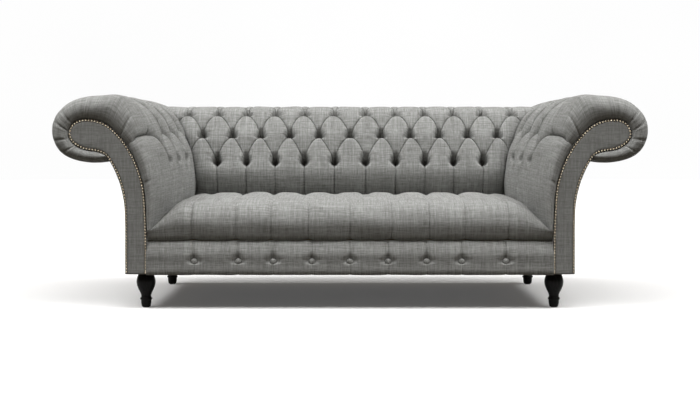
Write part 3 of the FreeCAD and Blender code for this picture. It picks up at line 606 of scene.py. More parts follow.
def back_surface(u, v):
    y, z = spline(back_v, BACK_OUTLINE, v).T
    x = np.sign(u) * np.interp(np.abs(u), SET_OUT, SEWN)
    return np.stack([x, y, z], -1)


def back_end(v):
    return np.interp(np.interp(v, back_v, BACK_ENDS), SEWN, SET_OUT)


back_low_buttons = [(x, back_low) for x in columns(4.5)]
back_middle_buttons = [(x, back_middle) for x in columns(5)]
back_top_buttons = [(x, back_high) for x in columns(5.5)]
back_buttons = back_low_buttons + back_middle_buttons + back_top_buttons
print("back:", len(back_buttons), "buttons, cloth %.0f mm" % back_v[-1])

# %% [markdown]
# ## The back's puffs
# Between four buttons lies an onion. Below the lowest row the pleats run straight down behind the
# seat, so the puffs there are channels. Above the top row two short pleats fan out from every
# button over the roll, with a narrow gusset between them. One patch for each keeps the seams on the
# pleats.

# %% Back puffs
GUSSET = 16.0
FAN_LENGTH = 90.0
FAN_CELLS = 44
CHANNEL_CELLS = 46
HIGH_BOWS = (0.88, 0.45)
LOW_BOWS = (0.65, 0.25)
ALL_ROUND = (True, True, True, True)
OPEN_BELOW = (True, True, False, True)
OPEN_ABOVE = (True, True, True, False)
SIDES_ONLY = (True, True, False, False)


def fan_edge(button, side):
    """One of the two short pleats above a top button, which then runs on over the roll."""
    v = button[1] + crowd_ends(FAN_CELLS) * (back_v[-1] - button[1])
    return np.stack([button[0] + side * GUSSET * smooth_step(0, FAN_LENGTH, v - button[1]), v], 1)


def bowed(upper, lower, bows):
    """A pleat that bows by the first value running outwards, by the second running inwards."""
    return pleat(upper, lower, bows[0] if abs(lower[0]) > abs(upper[0]) else bows[1])


def onion(cover, low, left, right, top, upper_bows, lower_bows):
    """A whole puff between four buttons."""
    cover.patch(bowed(right, low, lower_bows)[::-1], bowed(top, left, upper_bows)[::-1],
                bowed(left, low, lower_bows)[::-1], bowed(top, right, upper_bows)[::-1],
                ALL_ROUND, (0.46, 0.46))


def channel(cover, left, top, right, bows, cells):
    """The long puff below a button, between two pleats that run straight down."""
    cover.patch(level(left[0], top[0], right[0], 0.0),
                join(bowed(top, left, bows)[::-1], bowed(top, right, bows)),
                straight((left[0], 0.0), left, cells), straight((right[0], 0.0), right, cells),
                OPEN_BELOW, (0.30, 0.24))


def both_ends(end):
    """Cuts at the same distance on both sides of the middle."""
    return [(end, 1), (lambda v: -end(v), -1)]


def make_back():
    cover = Cover()
    last = back_v[-1]
    for x in columns(5.5):
        onion(cover, (x, back_low), (x - HALF, back_middle), (x + HALF, back_middle),
              (x, back_high), HIGH_BOWS, LOW_BOWS)
    for x in columns(5):
        channel(cover, (x - HALF, back_low), (x, back_middle), (x + HALF, back_low), LOW_BOWS,
                CHANNEL_CELLS)
    for x in columns(6):
        left, right, low = (x - HALF, back_high), (x + HALF, back_high), (x, back_middle)
        cover.patch(join(bowed(left, low, HIGH_BOWS), bowed(right, low, HIGH_BOWS)[::-1]),
                    level(x - HALF + GUSSET, x, x + HALF - GUSSET, last),
                    fan_edge(left, 1), fan_edge(right, -1), OPEN_ABOVE, (0.30, 0.20))
    for top in back_top_buttons:
        ends = [(top[0] + side * GUSSET, last) for side in (-1, 1)]
        cover.patch(np.repeat([top], 11, axis=0), straight(*ends, 10),
                    fan_edge(top, -1), fan_edge(top, 1), SIDES_ONLY, (0.5, 0.5))
    return flat_mesh(cover, both_ends(back_end))


back_flat = make_back()
print("back, laid flat:", len(back_flat.faces), "faces")

# %% [markdown]
# ## The back pad
# The sink of the back adds up what pulls it in: the puffs' rounding, the pits, a turn into the
# corner beside each arm, and the unevenness. Each of them is a short term, so one can be left out
# to see what it does.

# %% Back pad
BACK_PITS = (
    (back_low_buttons, dict(depth=54.0, reach=20.0, above=31.0, below=5.0, fold=4.0, notch=32.0)),
    (back_middle_buttons, dict(depth=54.0, reach=21.0, above=30.0, below=5.0, fold=4.0)),
    (back_top_buttons, dict(depth=46.0, reach=20.0, above=24.0, below=4.0, fold=3.0)))
CORNER_DEPTH = 34.0
CORNER_REACH = 60.0


def back_sink(u, v, fullness):
    near = near_buttons(u, v, back_buttons, 0.5, 32.0)
    puffs = fold_in(fullness, near * np.interp(v, back_v, BACK_ROUNDING),
                    near * np.interp(v, back_v, BACK_FOLDS))
    corner = CORNER_DEPTH * (1 - ease_in((back_end(v) - np.abs(u)) / CORNER_REACH))
    below_top = 1 - smooth_step(back_v[11], back_v[14], v)
    return (puffs + pits_of_rows(u, v, BACK_PITS) + corner * below_top
            + unevenness(u, v, 2.0, 11))


def back_base(u, v):
    points, normals = surface_frame(back_surface, u, v)
    return points - normals * np.interp(v, back_v, BACK_THICKNESS)[:, None]


back = raise_pad("back", back_flat, back_surface, back_sink, back_base)

# %% [markdown]
# ## The arms' outlines
# An arm is the same buttoning on a bolder outline: up from the seat, over the shoulder and round
# the scroll to the tuck below it. The padding is thin at the front and grows towards the back, so
# there are two outlines and the cover goes from one to the other. At the front the cover turns
# round a soft nose to the nail line of the facing.

# %% Arm outlines
ARM_FRONT = [(738, 294), (729, 360), (722, 440), (729, 519), (742, 584), (763, 645), (803, 722),
             (836, 774), (864, 796), (918, 793), (978, 786), (1025, 772), (1064, 748), (1092, 713),
             (1104, 671), (1102, 636), (1090, 606), (1067, 577), (1030, 556), (985, 545),
             (945, 542), (917, 547), (901, 556), (896, 566)]
ARM_REAR = [(652, 294), (647, 370), (643, 455), (652, 535), (671, 612), (697, 675), (742, 738),
            (794, 774), (854, 793)] + ARM_FRONT[9:]
ARM_BOARD = [(751, 294), (753, 345), (757, 420), (772, 497), (793, 554), (822, 607), (853, 647),
             (878, 672), (903, 690), (945, 703), (985, 705), (1006, 699), (1023, 688), (1036, 666),
             (1038, 650), (1036, 636), (1028, 621), (1015, 608), (1000, 599), (980, 591),
             (950, 585), (928, 581), (912, 575), (903, 570)]
NOSE_FRONT = -483.0
NOSE_DEPTH = 52.0
NOSE_TURN = 48.0
NOSE_CLOTH = 125.0
PAD_START = NOSE_FRONT + NOSE_DEPTH
FULL_PAD_FROM = 560.0
INSIDE_END = 215.0
ROLL_END = 432.0
END_ROUNDING = 26.0
MIRROR = np.array([-1.0, 1.0, 1.0])

arm_v = (lengths_along(ARM_FRONT) + lengths_along(ARM_REAR)) / 2


def cloth_at(y):
    return NOSE_CLOTH + y - PAD_START


def arm_end(v):
    """How far back the arm pad goes: to the back pad below, right to the rear on the roll."""
    return INSIDE_END + (ROLL_END - INSIDE_END) * smooth_step(arm_v[4], arm_v[6], v)


def arm_surface(u, v):
    """The arm on the right, before it is mirrored."""
    turn = np.radians(-NOSE_TURN + (90 + NOSE_TURN) * np.clip(u / NOSE_CLOTH, 0, 1))
    y = PAD_START + np.where(u < NOSE_CLOTH, -NOSE_DEPTH * np.cos(turn), u - NOSE_CLOTH)
    low = math.sin(math.radians(NOSE_TURN))
    raised = (np.sin(turn) + low) / (1 + low)
    raised = raised * (1 - 0.5 * (1 - ease_in((arm_end(v) - y) / END_ROUNDING)))
    share = np.clip((y - PAD_START) / FULL_PAD_FROM, 0, 1)[:, None]
    crown = spline(arm_v, ARM_FRONT, v) * (1 - share) + spline(arm_v, ARM_REAR, v) * share
    board = spline(arm_v, ARM_BOARD, v)
    x, z = (board + (crown - board) * raised[:, None]).T
    return np.stack([x, y, z], -1)


def arm_surface_left(u, v):
    return arm_surface(u, v) * MIRROR


def arm_base(u, v):
    x, z = spline(arm_v, ARM_BOARD, v).T
    return np.stack([-x, arm_surface(u, v)[:, 1], z], -1)


print("arm cloth, seat to tuck: %.0f mm" % arm_v[-1])

# %% [markdown]
# ## The arms' puffs
# The arm takes the onions and channels of the back, with its own bows. The foremost button has no
# neighbour in front of it: its pleat runs to the nails, and the two patches beside it reach round
# the nose.

# %% Arm puffs
arm_low, arm_middle = arm_v[3] + 15.0, arm_v[5] + 8.0
arm_high = arm_v[8] + 0.5 * (arm_v[9] - arm_v[8])
LOW_COLUMNS = np.array([-186.0, -60.0, 66.0, 192.0, 318.0])
MIDDLE_COLUMNS = np.array([-285.0, -123.0, 3.0, 129.0, 255.0, 381.0])
ARM_HIGH_BOW, ARM_LOW_BOW, NAIL_BOW = 0.5, 0.9, 0.45
INSIDE_CELLS = 110
ROLL_CELLS = 225

arm_low_buttons = [(cloth_at(y), arm_low) for y in LOW_COLUMNS[:3]]
arm_middle_buttons = [(cloth_at(y), arm_middle) for y in MIDDLE_COLUMNS[:4]]
arm_top_buttons = [(cloth_at(y), arm_high) for y in LOW_COLUMNS]
arm_buttons = arm_low_buttons + arm_middle_buttons + arm_top_buttons


def nose_patches(cover, first, lead, last):
    """The two patches in front of the first low button, parted by the pleat to the nails."""
    nailed = (0.0, arm_middle - 8.0)
    low, high = (first, arm_low), (first, arm_high)
    to_nail = pleat(lead, nailed, NAIL_BOW)[::-1]
    cover.patch(level(0, lead[0], first, 0), join(to_nail, pleat(lead, low, ARM_LOW_BOW)),
                straight((0, 0), nailed, INSIDE_CELLS), straight((first, 0), low, INSIDE_CELLS),
                (False, True, False, True), (0.16, 0.24))
    cover.patch(join(to_nail, pleat(high, lead, ARM_HIGH_BOW)[::-1]),
                level(0, lead[0], first, last),
                straight(nailed, (0, last), ROLL_CELLS), straight(high, (first, last), ROLL_CELLS),
                (False, True, True, False), (0.16, 0.12))


def make_arm():
    cover = Cover()
    last = arm_v[-1]
    middle = [(cloth_at(y), arm_middle) for y in MIDDLE_COLUMNS]
    nose_patches(cover, cloth_at(LOW_COLUMNS[0]), middle[0], last)
    for y, left, right in zip(LOW_COLUMNS, middle, middle[1:]):
        u = cloth_at(y)
        onion(cover, (u, arm_low), left, right, (u, arm_high), (ARM_HIGH_BOW,) * 2,
              (ARM_LOW_BOW,) * 2)
    for u in cloth_at(LOW_COLUMNS[:-1]) + HALF:
        channel(cover, (u - HALF, arm_low), (u, arm_middle), (u + HALF, arm_low),
                (ARM_LOW_BOW,) * 2, INSIDE_CELLS)
    for u in cloth_at(LOW_COLUMNS) + HALF:
        left, right, low = (u - HALF, arm_high), (u + HALF, arm_high), (u, arm_middle)
        cover.patch(join(pleat(left, low, ARM_HIGH_BOW), pleat(right, low, ARM_HIGH_BOW)[::-1]),
                    level(u - HALF, u, u + HALF, last),
                    straight(left, (u - HALF, last), ROLL_CELLS),
                    straight(right, (u + HALF, last), ROLL_CELLS), OPEN_ABOVE, (0.30, 0.12))
    return flat_mesh(cover, [(lambda v: cloth_at(arm_end(v)), 1)])


arm_flat = make_arm()
print("arm, laid flat:", len(arm_flat.faces), "faces")

# %% [markdown]
# ## The arm pads
# On the tight outer side of the scroll the cloth gathers at the nails, and two creases run back
# from them. All of this fades away from the nose. One arm is raised and the other is its mirror
# image, as a maker cuts both covers from one pattern.

# %% Arm pads
ARM_ROUNDING = [6, 8, 12, 18, 22, 22, 22, 20, 17, 13, 10, 8, 6, 5, 5, 4, 4, 3, 3, 2, 2, 2, 1, 1]
ARM_FOLDS = [4, 7, 11, 16, 19, 19, 19, 16, 13, 10, 8, 5, 3, 2, 2, 2, 2, 2, 1, 1, 1, 1, 1, 1]
ARM_FOLD_EDGE = 3
ARM_PITS = (
    (arm_low_buttons, dict(depth=52.0, reach=20.0, above=28.0, below=5.0, fold=2.4, notch=30.0)),
    (arm_middle_buttons, dict(depth=64.0, reach=17.0, above=30.0, below=5.0, fold=2.4)),
    (arm_top_buttons, dict(depth=20.0, reach=13.0, above=20.0, below=10.0)))
SCROLL_CENTRE = (985.0, 645.0)
GATHER_ANGLES = (92.0, 50.0, 25.0, -9.0, -42.0)
GATHER_DEPTHS = (1.2, 2.5, 4.0, 4.0, 4.0)
TUCK_DEPTH = 16.0


def gather_places():
    """Where round the scroll the cloth is gathered, as places along the outline."""
    v = np.linspace(arm_v[8], arm_v[-2], 400)
    x, z = spline(arm_v, ARM_FRONT, v).T
    turn = np.degrees(np.unwrap(np.arctan2(z - SCROLL_CENTRE[1], x - SCROLL_CENTRE[0])))
    return np.interp(-np.array(GATHER_ANGLES), -turn, v)


def crease(u, v, start, end, depth, reach):
    """A soft groove between two points of the cloth, deepest half-way."""
    start, end = np.asarray(start, float), np.asarray(end, float)
    way = end - start
    along = np.clip(((u - start[0]) * way[0] + (v - start[1]) * way[1]) / (way @ way), 0, 1)
    away = np.hypot(u - start[0] - along * way[0], v - start[1] - along * way[1])
    return depth * np.sin(math.pi * (0.12 + 0.76 * along)) * np.exp(-away / reach)


def nose_gathers(u, v):
    """Slanting grooves across the nose, each with a low ridge on both sides."""
    total = np.zeros_like(u)
    for number, (place, depth) in enumerate(zip(gather_places(), GATHER_DEPTHS)):
        slant = 0.06 * (u - 30) * (1 if number % 2 else -1)
        away = np.abs(v - place - slant)
        total += depth * (1.4 * np.exp(-away / 3.0) - 0.15 * np.exp(-((away - 13) / 7) ** 2))
    return total * smooth_step(3.0, 20.0, u) * (1 - smooth_step(70.0, NOSE_CLOTH, u))


def arm_sink(u, v, fullness):
    near = near_buttons(u, v, arm_buttons, 0.3, 42.0)
    near = near * (0.15 + 0.85 * smooth_step(10.0, 80.0, u))
    total = fold_in(fullness, near * np.interp(v, arm_v, ARM_ROUNDING),
                    near * np.interp(v, arm_v, ARM_FOLDS), ARM_FOLD_EDGE)
    total += pits_of_rows(u, v, ARM_PITS) + nose_gathers(u, v)
    total += crease(u, v, (4.0, arm_v[6] - 14), (90.0, arm_v[6] + 2), 10.0, 3.6)
    total += crease(u, v, (4.0, arm_v[3] - 38), (96.0, arm_v[3] - 33), 6.0, 2.6)
    tucked = TUCK_DEPTH * (1 - ease_in((v + 4) / 40.0)) * smooth_step(120, 290, u)
    return total + tucked + unevenness(u, v, 2.0, 23) * smooth_step(30, 120, u)


def mirror_image(piece, name):
    mesh = piece.data.copy()
    mesh.name = name
    places = np.zeros(len(mesh.vertices) * 3, np.float32)
    mesh.vertices.foreach_get("co", places)
    places[0::3] *= -1
    mesh.vertices.foreach_set("co", places)
    mesh.flip_normals()
    mesh.update()
    twin = bpy.data.objects.new(name, mesh)
    scene.collection.objects.link(twin)
    return twin


arm_left = raise_pad("arm_left", arm_flat, arm_surface_left, arm_sink, arm_base)
arm_right = mirror_image(arm_left, "arm_right")

# %% [markdown]
# ## The seat
# The seat is one long bench cushion sewn to the frame. Nine pleats rise over its front edge and end
# in sunk tufts; the rear edge is drawn into ten notches below the pleats of the back, and soft
# creases run between the two. The pleats are straight, so one grid is enough, with its columns
# crowded where the pleats are.

# %% Seat
SEAT_OUTLINE = [(-450, 256), (-458, 262), (-466, 284), (-470, 311), (-464, 344), (-445, 372),
                (-413, 391), (-368, 401), (-290, 406), (-190, 408), (-70, 410), (30, 412),
                (100, 411), (131, 403), (152, 380), (203, 322)]
SEAT_ENDS = [754, 754, 754, 754, 752, 747, 737, 717, 703, 692, 678, 665, 658, 655, 654, 654]
SEAT_END_DROPS = [0, 0, 4, 22, 54, 84, 92, 76, 44, 30, 22, 16, 12, 10, 6, 2]
END_FALL = 130.0
INNER_CENTRE = np.array([0.0, -160.0, 258.0])
INNER_SCALE = np.array([0.93, 0.75, 0.5])
CROWDING = np.array([0.0, 0.4, 1.0, 2.0, 3.5, 5.5, 8.0, 11.5])
LEAST_GAP = 0.35


def both_sides(places):
    return sorted({s * p for p in places for s in (-1.0, 1.0)})


def crowded(lines, half, step):
    """Columns across a pad, close together beside each line."""
    places = [np.linspace(-half, half, int(2 * half / step) + 1)]
    for line in lines:
        places += [line + CROWDING, line - CROWDING[1:]]
    places = np.sort(np.concatenate(places))
    places = places[np.abs(places) <= half]
    kept = [places[0]]
    for place in places[1:]:
        if place - kept[-1] > LEAST_GAP or place in lines:
            kept.append(place)
    kept[-1] = half
    return np.array(kept)


def seat_end(v):
    return np.interp(v, seat_v, SEAT_ENDS)


def seat_surface(u, v):
    y, z = spline(seat_v, SEAT_OUTLINE, v).T
    fall = (1 - np.clip((seat_end(v) - np.abs(u)) / END_FALL, 0, 1)) ** 1.6
    return np.stack([u, y, z - np.interp(v, seat_v, SEAT_END_DROPS) * fall], -1)


def seat_base(u, v):
    """A smaller body inside the pad."""
    return INNER_CENTRE + INNER_SCALE * (seat_surface(u, v) - INNER_CENTRE)


seat_v = lengths_along(SEAT_OUTLINE)
seat_pleats = both_sides((0.0, 154.0, 294.0, 426.0, 587.0))
seat_notches = both_sides((63.0, 187.0, 312.0, 437.0, 561.0))
seat_columns = crowded(seat_pleats + seat_notches, 756.0, 9.0)
print("seat:", len(seat_pleats), "pleats and", len(seat_notches), "notches")

# %% [markdown]
# ## The seat pad
# The sink of the seat is again a sum: grooves at the pleats and the notches, dips at the tufts,
# creases from each tuft to the notches near it, and the turn down beside the arms.

# %% Seat pad
TUFT_V = seat_v[7] + 60.0
TUFT_DEPTH = 9.0
PLEAT_DEPTH, PLEAT_REACH = 9.0, 34.0
NOTCH_DEPTH, NOTCH_REACH = 24.0, 46.0
CREASE_DEPTH, CREASE_REACH, CREASE_SPAN = 5.0, 15.0, 110.0
ARM_TURN_DEPTH, ARM_TURN_REACH = 30.0, 40.0


def groove(u, line, reach):
    return 1 - ease_in(np.abs(u - line) / reach)


def seat_sink(u, v, fullness):
    total = unevenness(u, v, 2.2, 37)
    front = 1 - smooth_step(seat_v[5], seat_v[8], v)
    rear = smooth_step(seat_v[10], seat_v[13], v)
    for notch in seat_notches:
        total += NOTCH_DEPTH * rear * groove(u, notch, NOTCH_REACH)
    for line in seat_pleats:
        total += PLEAT_DEPTH * front * groove(u, line, PLEAT_REACH)
        total += TUFT_DEPTH * np.exp(-((u - line) / 30.0) ** 2 - ((v - TUFT_V) / 52.0) ** 2)
        for notch in seat_notches:
            if abs(notch - line) < CREASE_SPAN:
                total += crease(u, v, (line, TUFT_V), (notch, seat_v[13]), CREASE_DEPTH,
                                CREASE_REACH)
    beside_arm = 1 - ease_in((seat_end(v) - np.abs(u)) / ARM_TURN_REACH)
    return total + ARM_TURN_DEPTH * beside_arm * smooth_step(seat_v[3], seat_v[6], v)


seat_flat = grid_mesh(seat_columns, np.linspace(0, seat_v[-1], 118), both_ends(seat_end))
seat = raise_pad("seat", seat_flat, seat_surface, seat_sink, seat_base)

# %% [markdown]
# ## The border
# Below the seat a border closes the front of the frame. It is padded thinly and has nine buttons,
# with a pleat above each and two short creases beside it. It is the seat's way of working again, on
# a smaller scale.

# %% Border
BORDER_OUTLINE = [(-462, 127), (-470, 128), (-474, 134), (-475, 160), (-475, 188), (-474, 206),
                  (-470, 220), (-464, 234), (-457, 245), (-447, 255)]
BORDER_BUTTONS = both_sides((0.0, 141.0, 284.0, 414.0, 577.0))
BORDER_PITS = dict(depth=12.0, reach=20.0, above=30.0, below=6.0)
BORDER_HALF = 755.0
BORDER_BOARD = -450.0
BUTTON_HEIGHT = 176.0

border_v = lengths_along(BORDER_OUTLINE)
border_button_v = float(np.interp(BUTTON_HEIGHT, [z for y, z in BORDER_OUTLINE], border_v))
border_buttons = [(x, border_button_v) for x in BORDER_BUTTONS]


def border_surface(u, v):
    y, z = spline(border_v, BORDER_OUTLINE, v).T
    return np.stack([u, y, z], -1)


def border_base(u, v):
    points = border_surface(u, v)
    points[:, 1] = BORDER_BOARD
    return points


def border_sink(u, v, fullness):
    total = unevenness(u, v, 1.0, 41) + pits(u, v, border_buttons, **BORDER_PITS)
    above = smooth_step(border_button_v - 3, border_button_v + 8, v)
    for x, place in border_buttons:
        total += (2.0 + 3.5 * above) * groove(u, x, 26.0)
        for side in (-1, 1):
            total += crease(u, v, (x + 6 * side, place + 4), (x + 44 * side, place + 12), 1.6, 5.0)
    return total


border_flat = grid_mesh(crowded(BORDER_BUTTONS, BORDER_HALF, 7.0), np.linspace(0, border_v[-1], 44))
border = raise_pad("border", border_flat, border_surface, border_sink, border_base)

# %% [markdown]
# ## Facings
# The fronts of the arms are closed by flat scroll-shaped facings, and their rear ends by panels of
# a like shape that reach in to the back. Each is a strip between its inner and its outer edge, so a
# grid can run from the foot to the tip of the scroll. A scroll cut out of a flat grid would have a
# ragged edge. The strips are thin pads, rounded off at the edge.

# %% Facings
FACING_INNER = [(750.5, 130), (750.5, 222), (751, 300), (753, 357), (757, 420), (764, 470),
                (772, 499), (788, 544), (808, 584), (836, 627), (866, 661), (904, 690), (945, 703),
                (985, 705), (1010, 697), (1029, 680), (1037, 661), (1038.5, 649)]
FACING_OUTER = [(833.5, 130), (833.5, 235), (833.5, 350), (837, 405), (845, 449), (857, 488),
                (876, 529), (889, 551), (903, 569.5), (918, 578), (940, 584), (966, 588),
                (989, 594), (1010, 605), (1027, 620), (1036, 636), (1038, 645)]
REAR_INNER = [(757, 130), (757, 222), (757, 300), (757, 357), (757, 420), (757, 470), (757, 510),
              (757, 550), (757, 590), (755, 622), (750, 645), (752, 680), (775, 710), (825, 722),
              (890, 722), (945, 714), (1012, 699), (1031, 682), (1040, 662), (1042, 649)]
REAR_OUTER = FACING_OUTER[:-5] + [(989, 592), (1012, 602), (1030, 617), (1040, 634), (1042, 645)]
FACING_FRONT, FACING_BOARD = -471.0, -458.5
REAR_FACE, REAR_BOARD = 440.5, 432.5
STRIP_WIDTH, STRIP_LENGTH = 100.0, 1000.0
STRIP_EDGE_DEPTH, STRIP_EDGE_REACH = 9.0, 24.0


def evenly(outline, share):
    places = lengths_along(outline)
    return spline(places, outline, np.asarray(share) * places[-1])


def scroll_strip(name, inner, outer, face, board, from_inner):
    """A thin pad between two edges: u goes across from one of them, v along them."""
    def edges(v):
        ends = evenly(outer, v / STRIP_LENGTH), evenly(inner, v / STRIP_LENGTH)
        return ends[::-1] if from_inner else ends

    def surface(u, v, y=face):
        first, second = edges(v)
        across = u[:, None] / STRIP_WIDTH
        x, z = (first * (1 - across) + second * across).T
        return np.stack([-x, np.full_like(x, y), z], -1)

    def sink(u, v, fullness):
        first, second = edges(v)
        wide = np.linalg.norm(first - second, axis=1)
        from_edge = np.minimum(u, STRIP_WIDTH - u) / STRIP_WIDTH * wide
        return STRIP_EDGE_DEPTH * (1 - ease_in(from_edge / STRIP_EDGE_REACH))

    flat = grid_mesh(crowd_ends(18) * STRIP_WIDTH, np.linspace(0, STRIP_LENGTH, 130))
    return raise_pad(name, flat, surface, sink, lambda u, v: surface(u, v, board), linen_flat,
                     lambda points: points[:, [0, 2]])


facing_left = scroll_strip("facing_left", FACING_INNER, FACING_OUTER, FACING_FRONT, FACING_BOARD,
                           False)
facing_right = mirror_image(facing_left, "facing_right")
rear_left = scroll_strip("arm_rear_left", REAR_INNER, REAR_OUTER, REAR_FACE, REAR_BOARD, True)
rear_right = mirror_image(rear_left, "arm_rear_right")

# %% [markdown]
# ## Outside panels
# The outsides of the arms and the rear of the sofa are covered without padding, and the cloth is
# pulled tight over its board. A flat face would look like a sheet of card, so the panels too are
# thin pads: a grid, rounded off close to its edge and a little uneven.

# %% Outside panels
OUTSIDE_ARM = [(834.5, 130.5), (834.5, 235), (834.5, 340), (840, 404), (850, 452), (866, 498),
               (886, 540), (902, 568)]
ARM_PANEL_BOARD = np.array([5.5, 0.0, 0.0])
BACK_FACE, BACK_BOARD = 439.0, 433.2
PANEL_EDGE_DEPTH, PANEL_EDGE_REACH, PANEL_SINK = 4.0, 7.0, 0.8
outside_v = lengths_along(OUTSIDE_ARM)


def outside_panel(name, surface, base, across, up, cells, seed):
    """A tight panel over a board, from the first to the last value of across and of up."""
    def sink(u, v, fullness):
        from_side = np.minimum(u - across[0], across[1] - u)
        from_edge = np.minimum(from_side, np.minimum(v - up[0], up[1] - v))
        edge = PANEL_EDGE_DEPTH * (1 - ease_in(from_edge / PANEL_EDGE_REACH))
        return edge + PANEL_SINK + unevenness(u, v, 0.7, seed)

    u, v = [ends[0] + (ends[1] - ends[0]) * crowd_ends(count)
            for ends, count in zip((across, up), cells)]
    return raise_pad(name, grid_mesh(u, v), surface, sink, base, linen_flat)


def outside_arm(u, v):
    x, z = spline(outside_v, OUTSIDE_ARM, v).T
    return np.stack([-x, -u, z], -1)


def outside_rear(u, v, y=BACK_FACE):
    return np.stack([-u, np.full_like(u, y), v], -1)


outside_left = outside_panel("outside_left", outside_arm,
                             lambda u, v: outside_arm(u, v) + ARM_PANEL_BOARD,
                             across=(-431.5, 457.5), up=(0.0, outside_v[-1]), cells=(60, 44),
                             seed=51)
outside_right = mirror_image(outside_left, "outside_right")
outside_back = outside_panel("outside_back", outside_rear,
                             lambda u, v: outside_rear(u, v, BACK_BOARD),
                             across=(-756.5, 756.5), up=(130.5, 617.5), cells=(90, 40), seed=52)

# %% [markdown]
# ## Turned shapes
# Buttons, nail heads and legs are all round, so one helper turns a profile about an axis, as a
# lathe does. A ready-made sphere or cylinder would need as much bending to become any of them.

# %% Turned shapes
def turned(name, profile, segments, material):
    """A shape turned about the z axis from (radius, height) points, top last."""
    points, faces = [], []
    for radius, height in profile:
        for i in range(segments):
            a = 2 * math.pi * i / segments
            points.append((radius * math.cos(a), radius * math.sin(a), height))
    for start in range(0, len(points) - segments, segments):
        for i in range(segments):
            j = (i + 1) % segments
            faces.append([start + i, start + j, start + segments + j, start + segments + i])
    faces.append(list(range(segments))[::-1])
    faces.append(list(range(len(points) - segments, len(points))))
    points = np.array(points)
    return mesh_object(name, points, faces, material, points[:, :2])


BUTTON_PROFILE = [(8.6, -3.2), (11.9, -1.6), (12.8, 0.4), (12.2, 3.0), (10.0, 5.6), (6.6, 7.4),
                  (2.8, 8.1)]
button = turned("button", BUTTON_PROFILE, 16, linen_cover)
print("a button has", len(button.data.polygons), "faces")

# %% [markdown]
# ## Setting out
# What repeats is set out by geometry nodes. One small turned shape is put on every point, with the
# way it faces read from the point, a little spin and a little difference in size. The result is
# made real and kept as a mesh. A copy for each button by hand would do too, but the tree takes any
# number of points and keeps the differences tied to one seed.

# %% Scatter tree
SCATTER_INPUTS = (("Geometry", "NodeSocketGeometry"), ("Shape", "NodeSocketObject"),
                  ("Uneven", "NodeSocketFloat"), ("Seed", "NodeSocketInt"),
                  ("Material", "NodeSocketMaterial"))


def scatter_tree():
    tree = bpy.data.node_groups.new("set_out", "GeometryNodeTree")
    for name, kind in SCATTER_INPUTS:
        tree.interface.new_socket(name=name, in_out="INPUT", socket_type=kind)
    tree.interface.new_socket(name="Geometry", in_out="OUTPUT", socket_type="NodeSocketGeometry")
    given = tree.nodes.new("NodeGroupInput").outputs
    facing = add_node(tree, "GeometryNodeInputNamedAttribute", {"Name": "facing"},
                      data_type="FLOAT_VECTOR")
    aligned = add_node(tree, "FunctionNodeAlignRotationToVector", {"Vector": facing.outputs[0]},
                       axis="Z")
    spin = add_node(tree, "FunctionNodeRandomValue",
                    {2: 0.0, 3: 2 * math.pi, "Seed": given["Seed"]}, data_type="FLOAT")
    turn = add_node(tree, "FunctionNodeAxisAngleToRotation",
                    {"Axis": (0, 0, 1), "Angle": spin.outputs[1]})
    pose = add_node(tree, "FunctionNodeRotateRotation",
                    {0: aligned.outputs[0], 1: turn.outputs[0]}, rotation_space="LOCAL")
    size = add_node(tree, "FunctionNodeRandomValue",
                    {2: maths(tree, "SUBTRACT", 1.0, given["Uneven"]),
                     3: maths(tree, "ADD", 1.0, given["Uneven"]), "Seed": given["Seed"]},
                    data_type="FLOAT")
    shape = add_node(tree, "GeometryNodeObjectInfo", {"Object": given["Shape"]})
    placed = add_node(tree, "GeometryNodeInstanceOnPoints", {
        "Points": given["Geometry"], "Instance": shape.outputs["Geometry"],
        "Rotation": pose.outputs[0], "Scale": size.outputs[1]})
    real = add_node(tree, "GeometryNodeRealizeInstances", {0: placed.outputs[0]})
    painted = add_node(tree, "GeometryNodeSetMaterial",
                       {"Geometry": real.outputs[0], "Material": given["Material"]})
    add_node(tree, "NodeGroupOutput", {0: painted.outputs[0]})
    return tree


set_out = scatter_tree()
print("scatter tree:", len(set_out.nodes), "nodes")

# %% [markdown]
# ## Covered buttons
# A covered button is a flat dome in the same linen. Its place comes from the same numbers as its
# pit, so each button sits at the bottom of its own pit and faces out of it. The border's buttons
# sit higher, on thin padding.

# %% Covered buttons
SIZE_SPREAD = 0.03
BORDER_LIFT = 5.0
CORNER_GAP = 12.0


def scatter(name, places, ways, shape, seed, material):
    """The shape put on every place, facing its way, as one real mesh."""
    points = bpy.data.meshes.new(name + "_points")
    points.from_pydata([tuple(p) for p in np.asarray(places) * MM], [], [])
    points.attributes.new("facing", "FLOAT_VECTOR", "POINT").data.foreach_set(
        "vector", np.asarray(ways, np.float32).ravel())
    carrier = bpy.data.objects.new(name + "_points", points)
    scene.collection.objects.link(carrier)
    modifier = carrier.modifiers.new("set_out", "NODES")
    modifier.node_group = set_out
    values = {"Shape": shape, "Uneven": SIZE_SPREAD, "Seed": seed, "Material": material}
    for socket in set_out.interface.items_tree:
        if socket.in_out == "INPUT" and socket.name in values:
            modifier[socket.identifier] = values[socket.name]
    seen = carrier.evaluated_get(bpy.context.evaluated_depsgraph_get())
    mesh = bpy.data.meshes.new_from_object(seen)
    carrier.modifiers.remove(modifier)
    bpy.data.objects.remove(carrier)
    mesh.name = name
    print(name, len(places), "places,", len(mesh.polygons), "faces")
    return show_mesh(name, mesh)


def button_places(surface, sink, buttons, lift=0.0):
    u, v = np.array(buttons).T
    points, normals = surface_frame(surface, u, v)
    return points - normals * (sink(u, v, np.zeros_like(u)) - lift)[:, None], normals


def inside_arm(place):
    """Whether a button of the arm lies in front of the corner with the back."""
    return place[0] < cloth_at(arm_end(np.array([place[1]]))[0]) - CORNER_GAP


